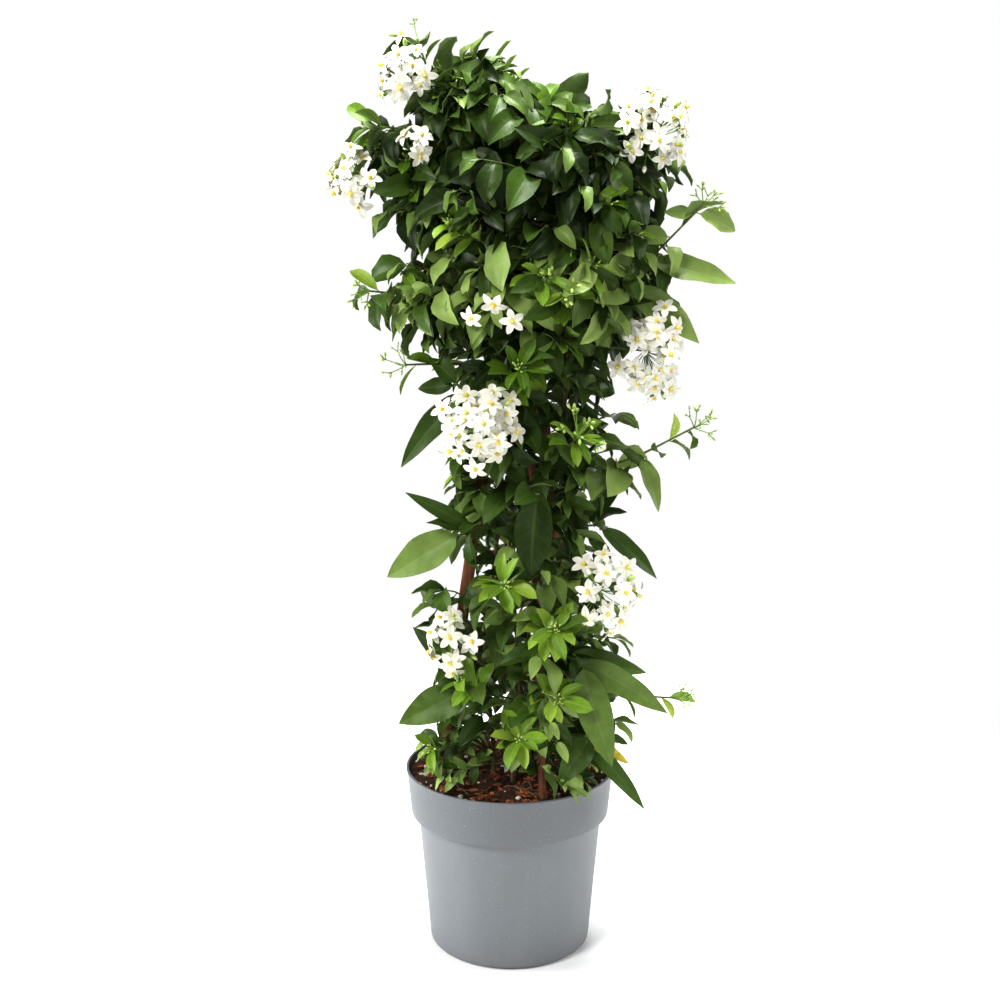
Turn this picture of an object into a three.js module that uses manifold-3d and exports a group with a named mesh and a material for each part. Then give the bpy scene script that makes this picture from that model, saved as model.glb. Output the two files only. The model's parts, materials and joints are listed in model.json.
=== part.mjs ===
// Potted potato vine: a grey nursery pot of soil, three laths tied together at the top, four
// twining stems, leafy side sprays and heads of white star flowers.
// Millimetres, +Z up. The origin is the middle of the pot's underside.

import * as THREE from 'three';
import { mergeVertices } from 'three/addons/utils/BufferGeometryUtils.js';
import Module from 'manifold-3d';

const wasm = await Module();
wasm.setup();

// Driving dimensions

const clear = 0.3; // gap between neighbouring pieces

const potSize = {
  height: 169,
  rimRadius: 95, // a 19 cm pot
  rimFootRadius: 90.5,
  rimBand: 43,
  neckRadius: 84,
  footRadius: 73.5,
  footChamfer: 6,
  wall: 1.8,
  floor: 3,
  sides: 36,
  drainHoles: 6,
  drainRadius: 5,
  drainRing: 48,
};

const soilSize = {
  drop: 9, // soil surface below the rim
  sides: 22,
  rings: [22, 44, 66],
  lump: 2.2,
};

const lathSize = {
  width: 11,
  thickness: 4.5,
  bottom: 128,
  top: 612,
  meet: new THREE.Vector3(10, 8, 612),
  meetRing: 9.5,
  feet: [
    { name: 'front', x: 29, y: -62 },
    { name: 'left', x: -65, y: 10 },
    { name: 'right', x: 60, y: 40 },
  ],
  footHeight: 155,
  tieHeight: 598,
  tieWire: 1.4,
  tieSides: 16,
  tieSag: 1.25, // room for the flats between the ring's corners
};

const stemSize = {
  radius: 2.4,
  bottom: 112,
  top: 738,
  lastRoot: 734, // nothing grows from above this
  steps: 16,
  sides: 4,
  turns: [-2.2, -0.35, 1.35, 2.3], // where each stem passes out between the laths
  passHeight: 450,
  twist: 0.0042, // radians for each millimetre of height
  shellWide: 1.25,
};

// Radius of the twining stems round the middle of the plant: height, radius
const stemSpread = [
  [112, 12], [165, 18], [300, 31], [400, 27], [450, 30], [500, 37], [560, 34], [640, 44], [738, 74],
];

// Middle line of the plant: height, x, y
const plantMiddle = [[112, 2, 2], [400, 10, 4], [600, 12, 5], [740, 20, 4]];

// Edges of the leaf mass: height, left edge, right edge, and its reach to the front and back
const plantEdges = [
  [165, -80, 92, 80],
  [222, -74, 108, 86],
  [293, -74, 100, 86],
  [346, -74, 98, 84],
  [400, -64, 88, 80],
  [450, -62, 94, 80],
  [506, -52, 84, 78],
  [542, -56, 94, 84],
  [568, -84, 116, 92],
  [598, -94, 140, 100],
  [628, -76, 150, 108],
  [658, -78, 152, 112],
  [690, -112, 154, 112],
  [714, -108, 152, 108],
  [734, -58, 134, 98],
  [750, -62, 96, 88],
  [766, -64, 50, 68],
  [780, -66, 16, 48],
  [797, -56, -8, 28],
];

// Leaf kinds: size, arch and fold in radians, and how far they follow twig, side, outside and down
const leafKinds = {
  crown: {
    length: 47, width: 22, arch: 0.9, fold: 0.35, cuts: 2, twig: 0.3, side: 0.8, out: 0.6, down: 0.4,
  },
  column: {
    length: 42, width: 18, arch: 0.8, fold: 0.3, cuts: 1, twig: 0.3, side: 0.8, out: 0.6, down: 0.15,
  },
  young: {
    length: 28, width: 12, arch: 0.6, fold: 0.4, cuts: 1, twig: 0.75, side: 0.9, out: 0.1, down: -0.1,
  },
};
const leafThickness = 0.75;

// Large leaves hang from a shoot with their faces to the light at the front
const largeLeaf = {
  arch: 0.5, fold: 0.25, cuts: 3, rise: 0.9, faces: [0, -0.85, 0.5], out: 0.35, root: 0.97,
};

// Half width along the blade, for one to three cuts: share of length, share of half width
const leafCuts = {
  1: [[0.46, 1]],
  2: [[0.34, 1], [0.7, 0.66]],
  3: [[0.14, 0.3], [0.38, 1], [0.7, 0.62]],
};

// How much each leaf differs from the next: radians, and shares of its size
const leafVaries = {
  turn: 0.9, roll: 0.9, smallest: 0.78, sizes: 0.44, slimmest: 0.85, widths: 0.3, flattest: 0.5,
};
const leafFacing = { up: 0.75, out: 0.55 };

const goldenTurn = 2.39996;

// Turns and lifts that a leaf or twig tries in order, to stay clear of what grows beside it
const bends = [
  [0, 0], [0.35, 0], [-0.35, 0], [0, 0.4], [0, -0.4], [0.7, 0.2], [-0.7, 0.2], [0.5, -0.4], [-0.5, -0.4],
];
const kneeMoves = { lift: 30, swing: 20 }; // what one unit of bend does to a twig's knee

// Steps up and down the stem that a twig's root tries in order
const rootShifts = [0, -16, 16, -32, 32];

const flowerSize = {
  radius: 11.5, notch: 0.43, tipBack: 1.4, dipUp: 0.4, heart: 1.6, cup: 4.2, neck: 1.3, core: 0.3,
};
const headShape = {
  hubBack: 0.3, openness: 1.05, nearest: 0.86, depths: 0.28, faceTogether: 0.35, turn: 0.5,
};
const stalkSize = { twig: 1.2, sides: 3, stalk: 0.5, stalkShare: 0.62, bud: 1.5, budShare: 0.82 };
const budSize = { length: 11, shortest: 0.7, lengths: 0.6, openness: 0.6, spacing: 0.05, rise: 0.6 };
const twigSteps = 2;
const sprayShape = { fork: 0.28, turn: 0.3, firstRise: 0.3, lowest: -0.6, rises: 2 };

// Colours, roughness
const finishes = {
  pot: [0x8f9396, 0.55],
  soil: [0x3a261b, 0.95],
  lath: [0x7a4426, 0.8],
  tie: [0x4a4a46, 0.5],
  bark: [0x6f5a3c, 0.85],
  leaf: [0x3f5f26, 0.45],
  young: [0x6d9a2e, 0.45],
  petal: [0xf3f2e8, 0.6],
};

const up = new THREE.Vector3(0, 0, 1);
const vec = (x, y, z) => new THREE.Vector3(x, y, z);

// Seeded draws between 0 and 1
function drawsFrom(seed) {
  let state = (seed * 7919) % 2147483647;
  return () => {
    state = (state * 16807) % 2147483647;
    return state / 2147483647;
  };
}

// A row of the table at a height, eased between the rows
function tableAt(rows, height) {
  if (height <= rows[0][0]) return rows[0].slice(1);
  for (let i = 1; i < rows.length; i++) {
    if (height > rows[i][0]) continue;
    const share = (height - rows[i - 1][0]) / (rows[i][0] - rows[i - 1][0]);
    const eased = share * share * (3 - 2 * share);
    return rows[i].slice(1).map((value, k) => rows[i - 1][k + 1] + (value - rows[i - 1][k + 1]) * eased);
  }
  return rows[rows.length - 1].slice(1);
}

// Solids and meshes

function solidOf(geometry) {
  const bare = geometry.clone();
  bare.deleteAttribute('normal');
  bare.deleteAttribute('uv');
  const merged = mergeVertices(bare, 1e-4);
  const corners = merged.index.array;
  const kept = []; // a pole or a closed tip leaves faces with no area
  for (let i = 0; i < corners.length; i += 3) {
    const [a, b, c] = [corners[i], corners[i + 1], corners[i + 2]];
    if (a !== b && b !== c && a !== c) kept.push(a, b, c);
  }
  const vertProperties = merged.attributes.position.array;
  return new wasm.Manifold(new wasm.Mesh({ numProp: 3, vertProperties, triVerts: new Uint32Array(kept) }));
}

function geometryOf(solid) {
  const { vertProperties, triVerts } = solid.getMesh();
  const geometry = new THREE.BufferGeometry();
  geometry.setAttribute('position', new THREE.BufferAttribute(new Float32Array(vertProperties), 3));
  geometry.setIndex(new THREE.BufferAttribute(new Uint32Array(triVerts), 1));
  geometry.computeVertexNormals();
  return geometry;
}

function meshOf(name, geometry, finish) {
  const [color, roughness] = finishes[finish];
  const mesh = new THREE.Mesh(geometry, new THREE.MeshStandardMaterial({ color, roughness, metalness: 0 }));
  mesh.name = name;
  return mesh;
}

function placedSolid(mesh) {
  mesh.updateMatrixWorld(true);
  return solidOf(mesh.geometry.clone().applyMatrix4(mesh.matrixWorld));
}

function tubeGeometry(curve, radius, sides, steps) {
  const section = new THREE.Shape();
  for (let i = 0; i < sides; i++) {
    const turn = (2 * Math.PI * i) / sides;
    const corner = [radius * Math.cos(turn), radius * Math.sin(turn)];
    if (i === 0) section.moveTo(...corner);
    else section.lineTo(...corner);
  }
  section.closePath();
  return new THREE.ExtrudeGeometry(section, { steps, extrudePath: curve, bevelEnabled: false });
}

// Pot

function potInnerRadius(height) {
  const { footRadius, neckRadius, rimRadius, rimFootRadius, rimBand, wall, footChamfer } = potSize;
  const neck = potSize.height - rimBand;
  if (height > neck + wall) {
    const share = (height - neck) / rimBand;
    return rimFootRadius + (rimRadius - rimFootRadius) * share - wall;
  }
  const share = (height - footChamfer) / (neck - footChamfer);
  return footRadius + (neckRadius - footRadius) * share - wall;
}

function buildPot() {
  const s = potSize;
  const neck = s.height - s.rimBand;
  const ledge = neck + s.wall;
  const profile = [
    [0, 0], [s.footRadius - s.footChamfer, 0], [s.footRadius, s.footChamfer], [s.neckRadius, neck],
    [s.rimFootRadius, neck], [s.rimRadius, s.height - 1], [s.rimRadius - 0.6, s.height],
    [s.rimRadius - s.wall, s.height], [potInnerRadius(ledge + 0.01), ledge],
    [potInnerRadius(ledge), ledge], [potInnerRadius(s.floor), s.floor], [0, s.floor],
  ];
  const bowl = new THREE.LatheGeometry(profile.map(([r, z]) => new THREE.Vector2(r, z)), s.sides);
  bowl.rotateX(Math.PI / 2);
  let solid = solidOf(bowl);
  for (let i = 0; i < s.drainHoles; i++) {
    const turn = (2 * Math.PI * i) / s.drainHoles;
    const hole = new THREE.CylinderGeometry(s.drainRadius, s.drainRadius, 4 * s.floor, 8);
    hole.rotateX(Math.PI / 2);
    hole.translate(s.drainRing * Math.cos(turn), s.drainRing * Math.sin(turn), s.floor / 2);
    solid = solid.subtract(solidOf(hole));
  }
  return meshOf('pot', geometryOf(solid), 'pot');
}

// Soil, with a plain hole for each lath and stem

const soilTop = potSize.height - soilSize.drop;

function soilHeight(x, y) {
  const waves = Math.sin(x * 0.11 + 1.3) * Math.cos(y * 0.13 - 0.4) + 0.6 * Math.sin(x * 0.23 - y * 0.19);
  return soilTop + soilSize.lump * waves;
}

function buildSoil(sockets) {
  const inset = (height) => potInnerRadius(height) * Math.cos(Math.PI / potSize.sides) - clear;
  const floor = potSize.floor + clear;
  const ledge = potSize.height - potSize.rimBand + potSize.wall;
  const edge = inset(soilTop);
  const profile = [
    [0, floor], [inset(floor), floor],
    [inset(ledge - 0.01), ledge + clear], [inset(ledge + 1), ledge + clear],
    [edge, soilTop - 1], ...soilSize.rings.slice().reverse().map((r) => [r, soilTop]), [0, soilTop],
  ];
  const ball = new THREE.LatheGeometry(profile.map(([r, z]) => new THREE.Vector2(r, z)), soilSize.sides);
  ball.rotateX(Math.PI / 2);
  const spots = ball.attributes.position;
  for (let i = 0; i < spots.count; i++) {
    if (spots.getZ(i) > soilTop - 0.5) spots.setZ(i, soilHeight(spots.getX(i), spots.getY(i)));
  }
  let solid = solidOf(ball);
  for (const socket of sockets) solid = solid.subtract(socket);
  return meshOf('soil', geometryOf(solid), 'soil');
}

// Laths and the wire that ties them

function lathMesh(foot, grow) {
  const { meet, meetRing, width, thickness, footHeight, bottom, top } = lathSize;
  const start = vec(foot.x, foot.y, footHeight);
  const away = vec(foot.x - meet.x, foot.y - meet.y, 0).normalize();
  const end = meet.clone().addScaledVector(away, meetRing);
  const along = end.clone().sub(start).normalize();
  const low = start.clone().addScaledVector(along, (bottom - grow - footHeight) / along.z);
  const high = start.clone().addScaledVector(along, (top + grow - footHeight) / along.z);
  const side = new THREE.Vector3().crossVectors(along, away).normalize();
  const face = new THREE.Vector3().crossVectors(side, along).normalize();
  const body = new THREE.BoxGeometry(width + 2 * grow, thickness + 2 * grow, high.distanceTo(low));
  const mesh = meshOf(`lath_${foot.name}`, body, 'lath');
  mesh.quaternion.setFromRotationMatrix(new THREE.Matrix4().makeBasis(face, side, along));
  mesh.position.copy(low).add(high).multiplyScalar(0.5);
  return mesh;
}

function buildTie(laths) {
  const { meet, tieHeight, tieWire, tieSag, tieSides } = lathSize;
  let reach = 0;
  for (const lath of laths) {
    const corners = lath.geometry.attributes.position;
    lath.updateMatrixWorld(true);
    const low = [];
    const high = [];
    for (let i = 0; i < corners.count; i++) {
      const spot = new THREE.Vector3().fromBufferAttribute(corners, i);
      (spot.z < 0 ? low : high).push(spot);
    }
    for (const a of low) {
      const b = high.find((spot) => spot.x === a.x && spot.y === a.y);
      const from = a.clone().applyMatrix4(lath.matrixWorld);
      const to = b.clone().applyMatrix4(lath.matrixWorld);
      const share = (tieHeight - 2 * tieWire - from.z) / (to.z - from.z);
      const spot = from.lerp(to, share);
      reach = Math.max(reach, Math.hypot(spot.x - meet.x, spot.y - meet.y));
    }
  }
  const ring = new THREE.TorusGeometry(reach + clear + tieWire * tieSag, tieWire, 4, tieSides);
  const mesh = meshOf('lath_tie', ring, 'tie');
  mesh.position.set(meet.x, meet.y, tieHeight);
  return mesh;
}

// Main stems

function stemPoint(index, height) {
  const turn = stemSize.turns[index] + stemSize.twist * (height - stemSize.passHeight);
  const [spread] = tableAt(stemSpread, height);
  const [x, y] = tableAt(plantMiddle, height);
  return vec(x + spread * Math.cos(turn), y + spread * Math.sin(turn), height);
}

class StemCurve extends THREE.Curve {
  constructor(index, extra) {
    super();
    this.index = index;
    this.bottom = stemSize.bottom - extra;
  }

  getPoint(share) {
    const height = this.bottom + (stemSize.top - this.bottom) * share;
    const spot = stemPoint(this.index, Math.max(height, stemSize.bottom));
    spot.z = height;
    return spot;
  }
}

// A shell grown by the gap is a little wider, so that its flats too are the gap away
function stemGeometry(index, grow) {
  const { radius, shellWide, sides, steps } = stemSize;
  return tubeGeometry(new StemCurve(index, grow), radius + grow * shellWide, sides, steps);
}

// Leaves

function outwardAt(spot) {
  const [x, y] = tableAt(plantMiddle, spot.z);
  return vec(spot.x - x, spot.y - y, 0).normalize();
}

function leafGeometry(leaf, grow = 0) {
  const { base, along, face, arch, fold } = leaf;
  const length = leaf.length + grow;
  const side = new THREE.Vector3().crossVectors(along, face);
  const stations = [[0, 0], ...leafCuts[leaf.cuts], [1, 0]];
  const half = leafThickness / 2 + grow;
  const spots = [];
  const rows = [];
  for (const [share, wide] of stations) {
    const angle = arch * share;
    const centre = base.clone()
      .addScaledVector(along, (length * Math.sin(angle)) / arch)
      .addScaledVector(face, (-length * (1 - Math.cos(angle))) / arch);
    const normal = face.clone().multiplyScalar(Math.cos(angle)).addScaledVector(along, Math.sin(angle));
    const reach = wide > 0 ? (leaf.width / 2) * wide + grow : 0;
    const offsets = wide > 0 ? [1, 0, -1] : [0];
    const row = offsets.map((way) => {
      const spot = centre.clone().addScaledVector(side, way * reach * Math.cos(fold));
      spot.addScaledVector(normal, Math.abs(way) * reach * Math.sin(fold));
      const place = spots.length / 2;
      spots.push(spot.clone().addScaledVector(normal, half), spot.clone().addScaledVector(normal, -half));
      return place;
    });
    rows.push(row);
  }
  const faces = [];
  for (let i = 0; i + 1 < rows.length; i++) {
    const [a, c, b] = rows[i].length === 3 ? rows[i] : [null, rows[i][0], null];
    const [a2, c2, b2] = rows[i + 1].length === 3 ? rows[i + 1] : [null, rows[i + 1][0], null];
    if (a === null) faces.push([c, a2, c2], [c, c2, b2]);
    else if (a2 === null) faces.push([a, c2, c], [c, c2, b]);
    else faces.push([a, a2, c2], [a, c2, c], [c, c2, b2], [c, b2, b]);
  }
  const rightEdge = rows.map((row) => row[0]);
  const leftEdge = rows.map((row) => row[row.length - 1]).reverse();
  const rim = [...rightEdge, ...leftEdge.slice(1, -1)];
  const index = [];
  for (const [a, b, c] of faces) index.push(2 * a, 2 * b, 2 * c, 2 * a + 1, 2 * c + 1, 2 * b + 1);
  rim.forEach((p, i) => {
    const q = rim[(i + 1) % rim.length];
    index.push(2 * p, 2 * p + 1, 2 * q + 1, 2 * p, 2 * q + 1, 2 * q);
  });
  const geometry = new THREE.BufferGeometry();
  geometry.setAttribute('position', new THREE.Float32BufferAttribute(spots.flatMap((s) => s.toArray()), 3));
  geometry.setIndex(index);
  return geometry;
}

function orientLeaf(base, heading, facing, roll) {
  const along = heading.clone().normalize();
  const face = facing.clone().addScaledVector(along, -facing.dot(along)).normalize();
  face.applyAxisAngle(along, roll);
  return { base, along, face };
}

function bentLeaf(leaf, [turn, lift]) {
  const heading = leaf.along.clone().applyAxisAngle(up, turn).addScaledVector(up, lift);
  const facing = leaf.face.clone().applyAxisAngle(up, turn);
  return { ...leaf, ...orientLeaf(leaf.base, heading, facing, 0) };
}

function leafOnTwig(twig, bare, kind, index, count, draw) {
  const style = leafKinds[kind];
  const share = bare + (1 - bare) * ((index + 0.5) / count);
  const turn = index * goldenTurn + (draw() - 0.5) * leafVaries.turn;
  const size = leafVaries.smallest + leafVaries.sizes * draw();
  const slim = leafVaries.slimmest + leafVaries.widths * draw();
  const arch = style.arch * (leafVaries.flattest + draw());
  const roll = (draw() - 0.5) * leafVaries.roll;
  const base = twig.curve.getPoint(share);
  const along = twig.curve.getTangent(share);
  const flat = new THREE.Vector3().crossVectors(along, up).normalize();
  const rise = new THREE.Vector3().crossVectors(flat, along);
  const outward = outwardAt(base);
  const heading = along.multiplyScalar(style.twig)
    .addScaledVector(flat, style.side * Math.cos(turn))
    .addScaledVector(rise, style.side * Math.sin(turn))
    .addScaledVector(outward, style.out)
    .addScaledVector(up, -style.down);
  const facing = up.clone().multiplyScalar(leafFacing.up).addScaledVector(outward, leafFacing.out);
  return {
    ...orientLeaf(base, heading, facing, roll),
    length: style.length * size,
    width: style.width * size * slim,
    arch, fold: style.fold, cuts: style.cuts,
  };
}

// Flowers and buds

// A five-pointed star on a stalk that narrows to its root, as one closed body
function flowerGeometry(root, centre, heading, grow = 0) {
  const { radius, notch, tipBack, dipUp, heart, cup, neck } = flowerSize;
  const turnTo = new THREE.Quaternion().setFromUnitVectors(up, heading);
  const place = (x, y, z) => vec(x, y, z).applyQuaternion(turnTo).add(centre);
  const spots = [place(0, 0, heart + grow), root];
  for (let i = 0; i < 10; i++) {
    const turn = (Math.PI * i) / 5;
    const isTip = i % 2 === 0;
    const reach = (isTip ? radius : radius * notch) + grow;
    spots.push(place(reach * Math.cos(turn), reach * Math.sin(turn), isTip ? -tipBack : dipUp));
  }
  for (let i = 0; i < 5; i++) {
    const turn = (2 * Math.PI * i) / 5;
    spots.push(place((neck + grow) * Math.cos(turn), (neck + grow) * Math.sin(turn), -cup));
  }
  const index = [];
  for (let i = 0; i < 10; i++) index.push(0, 2 + i, 2 + ((i + 1) % 10));
  for (let i = 0; i < 5; i++) {
    const [low, lowNext] = [12 + i, 12 + ((i + 1) % 5)];
    const [tip, dip, tipNext] = [2 + 2 * i, 3 + 2 * i, 2 + ((2 * i + 2) % 10)];
    index.push(low, dip, tip, low, lowNext, dip, lowNext, tipNext, dip, 1, lowNext, low);
  }
  const geometry = new THREE.BufferGeometry();
  geometry.setAttribute('position', new THREE.Float32BufferAttribute(spots.flatMap((s) => s.toArray()), 3));
  geometry.setIndex(index);
  return geometry;
}

function budGeometry(root, heading, length) {
  const { stalk, stalkShare, bud, budShare, sides } = stalkSize;
  const profile = [[0, 0], [stalk, 0], [stalk, length * stalkShare], [bud, length * budShare], [0, length]];
  const geometry = new THREE.LatheGeometry(profile.map(([r, z]) => new THREE.Vector2(r, z)), sides);
  geometry.rotateX(Math.PI / 2);
  geometry.applyQuaternion(new THREE.Quaternion().setFromUnitVectors(up, heading));
  return geometry.translate(root.x, root.y, root.z);
}

// Directions spread evenly over a cap round a heading
function capDirection(heading, index, count, openness, draw) {
  const depth = 1 - openness * ((index + 0.5) / count);
  const turn = index * goldenTurn + (draw() - 0.5) * headShape.turn;
  const wide = Math.sqrt(Math.max(0, 1 - depth * depth));
  const local = vec(wide * Math.cos(turn), wide * Math.sin(turn), depth);
  return local.applyQuaternion(new THREE.Quaternion().setFromUnitVectors(up, heading));
}

// What stands already: boxes and solids that new growth stays clear of

const standing = [];

function stand(name, solid) {
  standing.push({ name, solid, box: solid.boundingBox() });
}

function boxesMeet(a, b) {
  for (let i = 0; i < 3; i++) {
    if (a.min[i] > b.max[i] || b.min[i] > a.max[i]) return false;
  }
  return true;
}

// Whether a solid crosses nothing that stands, apart from the stem that carries it
function isFree(carrier, solid) {
  const box = solid.boundingBox();
  return !standing.some((other) => other.name !== carrier && boxesMeet(box, other.box)
    && !solid.intersect(other.solid).isEmpty());
}

// A twig of two straight lengths, with a knee pushed up by the lift and aside by the swing
function twigPath(start, end, lift, swing) {
  const knee = start.clone().add(end).multiplyScalar(0.5);
  knee.z += lift / 2;
  knee.addScaledVector(vec(start.y - end.y, end.x - start.x, 0).normalize(), swing / 2);
  const path = new THREE.CurvePath();
  path.add(new THREE.LineCurve3(start, knee));
  path.add(new THREE.LineCurve3(knee, end));
  return path;
}

// A node that grows from one main stem: its parts are gathered, fused and cut clear of the stem

class Growth {
  constructor(name, stem) {
    this.name = name;
    this.stem = stem;
    this.parts = [];
    this.leaves = [];
  }

  tryPart(makeGeometry, beside) {
    for (const bend of bends) {
      const shell = solidOf(makeGeometry(bend, clear));
      if (!isFree(`stem_${this.stem}`, shell)) continue;
      if (beside.some((part) => !shell.intersect(part).isEmpty())) continue;
      this.parts.push(solidOf(makeGeometry(bend, 0)));
      return true;
    }
    return false;
  }

  addLeaf(twig, leaf) {
    const others = this.parts.filter((part) => part !== twig.solid);
    const grown = this.tryPart((bend, grow) => leafGeometry(bentLeaf(leaf, bend), grow), others);
    if (grown) this.leaves.push(this.parts[this.parts.length - 1]);
  }

  addTwig(start, end, lift) {
    let curve = null;
    const grown = this.tryPart(([turn, rise], grow) => {
      curve = twigPath(start, end, lift + rise * kneeMoves.lift, turn * kneeMoves.swing);
      return tubeGeometry(curve, stalkSize.twig + grow, stalkSize.sides, twigSteps);
    }, []);
    return grown ? { curve, solid: this.parts[this.parts.length - 1] } : null;
  }

  addFlower(root, spot, heading) {
    return this.tryPart(([turn, rise], grow) => {
      const way = heading.clone().applyAxisAngle(up, turn).addScaledVector(up, rise).normalize();
      return flowerGeometry(root, spot, way, grow);
    }, []);
  }

  addCore(centre, radius) {
    const core = new THREE.IcosahedronGeometry(radius, 0);
    this.parts.push(solidOf(core.translate(centre.x, centre.y, centre.z)));
  }

  addBud(root, heading, length) {
    return this.tryPart(([turn, rise], grow) => {
      const way = heading.clone().applyAxisAngle(up, turn).addScaledVector(up, rise).normalize();
      return budGeometry(root, way, length + grow);
    }, this.leaves);
  }

  finish(finish) {
    let solid = wasm.Manifold.union(this.parts);
    solid = solid.subtract(stemShells[this.stem]);
    const bodies = solid.decompose().sort((a, b) => b.volume() - a.volume());
    const body = bodies[0];
    stand(this.name, body);
    return meshOf(this.name, geometryOf(body), finish);
  }
}

// What grows, top to bottom and front to back. Places in millimetres from the origin.

// Heads of flowers: root height, place of the head, way it faces, radius, stretch in height, flowers
const flowerHeads = [
  ['head_top_left', 715, [-88, -28, 782], [-0.5, -0.75, 0.4], 23, 1.25, 7],
  ['head_far_left', 660, [-128, -32, 698], [-0.6, -0.7, 0.2], 25, 1, 8],
  ['head_near_left', 690, [-76, -52, 728], [-0.3, -0.8, 0.5], 13, 1, 3],
  ['head_right', 680, [116, -48, 737], [0.3, -0.8, 0.5], 30, 1, 9],
  ['head_right_low', 560, [117, -48, 556], [0.35, -0.9, 0.1], 27, 1.45, 13],
  ['head_middle', 490, [-24, -80, 497], [-0.15, -0.95, 0.25], 32, 1, 17],
  ['head_low_right', 350, [79, -72, 354], [0.35, -0.85, 0.2], 27, 1.3, 11],
  ['head_low_left', 305, [-50, -70, 308], [-0.4, -0.85, 0.2], 22, 1.25, 8],
  ['head_back_high', 660, [70, 92, 676], [0.4, 0.85, 0.3], 25, 1, 6],
  ['head_back_middle', 470, [-42, 76, 476], [-0.4, 0.85, 0.2], 23, 1, 5],
  ['head_back_low', 300, [34, 82, 312], [0.3, 0.9, 0.2], 22, 1, 5],
];

// Single flowers on one thin twig: place and the way each faces
const singleFlowers = {
  name: 'single_flowers', root: 600, end: [-10, -88, 604],
  flowers: [
    { centre: [1, -106, 588], faces: [0.1, -1, 0.15] },
    { centre: [-14, -101, 601], faces: [-0.2, -0.75, -0.6] },
    { centre: [-32, -98, 590], faces: [-0.5, -0.7, -0.5] },
  ],
};

const fallenFlower = { x: 0, y: 0, shrink: 0.78, stub: 5.2, tilt: 0.12, turn: 0.4 };

// Young tips down the front: root height, end of the shoot, bright leaves, buds
const youngTips = [
  ['tip_crown_left', 630, [-50, -74, 664], 5, 2],
  ['tip_crown_front', 600, [44, -100, 610], 6, 2],
  ['tip_neck', 525, [7, -92, 548], 5, 2],
  ['tip_waist', 460, [55, -90, 490], 5, 3],
  ['tip_middle', 345, [-4, -92, 364], 6, 2],
  ['tip_front', 300, [36, -98, 327], 6, 2],
  ['tip_low_right', 245, [40, -92, 262], 5, 2],
  ['tip_low_left', 235, [-44, -76, 276], 5, 2],
  ['tip_soil', 200, [8, -84, 224], 5, 1],
];

// Shoots with large single leaves: root height, end of the shoot, and for each leaf the share of the
// shoot where it grows, the place of its tip and its width
const leafyShoots = [
  ['old_left_high', 512, [-48, -36, 526], [[0.7, [-93, -50, 455], 26], [1, [-80, -32, 514], 16]]],
  ['old_left_middle', 405, [-42, -46, 398], [[0.7, [-88, -70, 422], 13], [1, [-101, -55, 348], 34]]],
  ['old_left_low', 262, [-34, -58, 262], [[0.7, [-92, -42, 301], 22], [1, [-89, -80, 224], 33]]],
  ['old_front', 430, [24, -72, 438], [[1, [14, -86, 368], 34]]],
  ['old_right_middle', 395, [76, -34, 402], [[0.7, [104, -60, 446], 18], [1, [127, -42, 352], 20]]],
  ['old_right_low', 285, [62, -74, 292],
    [[0.6, [111, -80, 268], 24], [0.85, [134, -68, 241], 24], [1, [87, -97, 203], 32]]],
  ['old_rim', 205, [74, -62, 220],
    [[0.6, [99, -72, 172], 17], [0.85, [118, -60, 150], 16], [1, [47, -86, 181], 26]]],
];

// Long arms: root height, end of the arm, its lift in the middle, kind of leaf, small leaves, end buds
// and large leaves
const arms = [
  ['arm_right_high', 575, [160, -42, 678], -56, 'young', 3, 3,
    [[0.68, [181, -62, 602], 26], [0.52, [152, -64, 561], 29]]],
  ['arm_right_middle', 440, [157, -50, 492], -22, 'young', 2, 4,
    [[0.62, [127, -62, 422], 19], [0.4, [92, -78, 434], 22]]],
  ['arm_top', 715, [-50, -24, 782], 6, 'crown', 5, 1, [[1, [-5, -34, 784], 20]]],
  ['arm_top_tip', 728, [-78, -8, 812], 10, 'young', 5, 2, []],
  ['arm_left_high', 585, [-120, -40, 606], 6, 'young', 4, 3, []],
  ['arm_left_middle', 535, [-90, -30, 542], 2, 'young', 1, 3, []],
  ['arm_right_low', 240, [150, -32, 243], -4, 'young', 3, 3, []],
];

// Leafy sprays that fill the plant all round: where each tier's sprays root, and what each spray carries
const sprayTiers = [
  {
    name: 'spray_column', kind: 'column', sprays: 6, firstTurn: 0.6, lowest: 200, highest: 560, rise: 22,
    twigs: 3, fan: 0.85, leaves: 2, reach: 0.7, reaches: 0.12,
  },
  {
    name: 'spray_crown', kind: 'crown', sprays: 6, firstTurn: 2, lowest: 606, highest: 722, rise: 26,
    twigs: 3, fan: 0.95, leaves: 3, reach: 0.72, reaches: 0.14,
  },
  {
    name: 'spray_top', kind: 'crown', sprays: 2, firstTurn: 0.5, lowest: 732, highest: 734, rise: 40,
    twigs: 3, fan: 1.3, leaves: 3, reach: 0.3, reaches: 0.5,
  },
];

const twigBare = { young: 0.62, arm: 0.25, spray: 0.3 };
const lifts = { head: 6, young: -6, spray: 10 };

const stemShells = [];

// A new growth on the stem and at the height, of those tried in order, where its first twig is free
function growTwig(name, root, end, lift) {
  const near = stemSize.turns.map((_, i) => i)
    .sort((a, b) => stemPoint(a, root).distanceTo(end) - stemPoint(b, root).distanceTo(end));
  for (const shift of rootShifts) {
    const height = Math.min(root + shift, stemSize.lastRoot);
    for (const stem of near.slice(0, 3)) {
      const growth = new Growth(name, stem);
      const twig = growth.addTwig(stemPoint(stem, height), end, lift);
      if (twig) return { growth, twig };
    }
  }
  return null;
}

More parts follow.
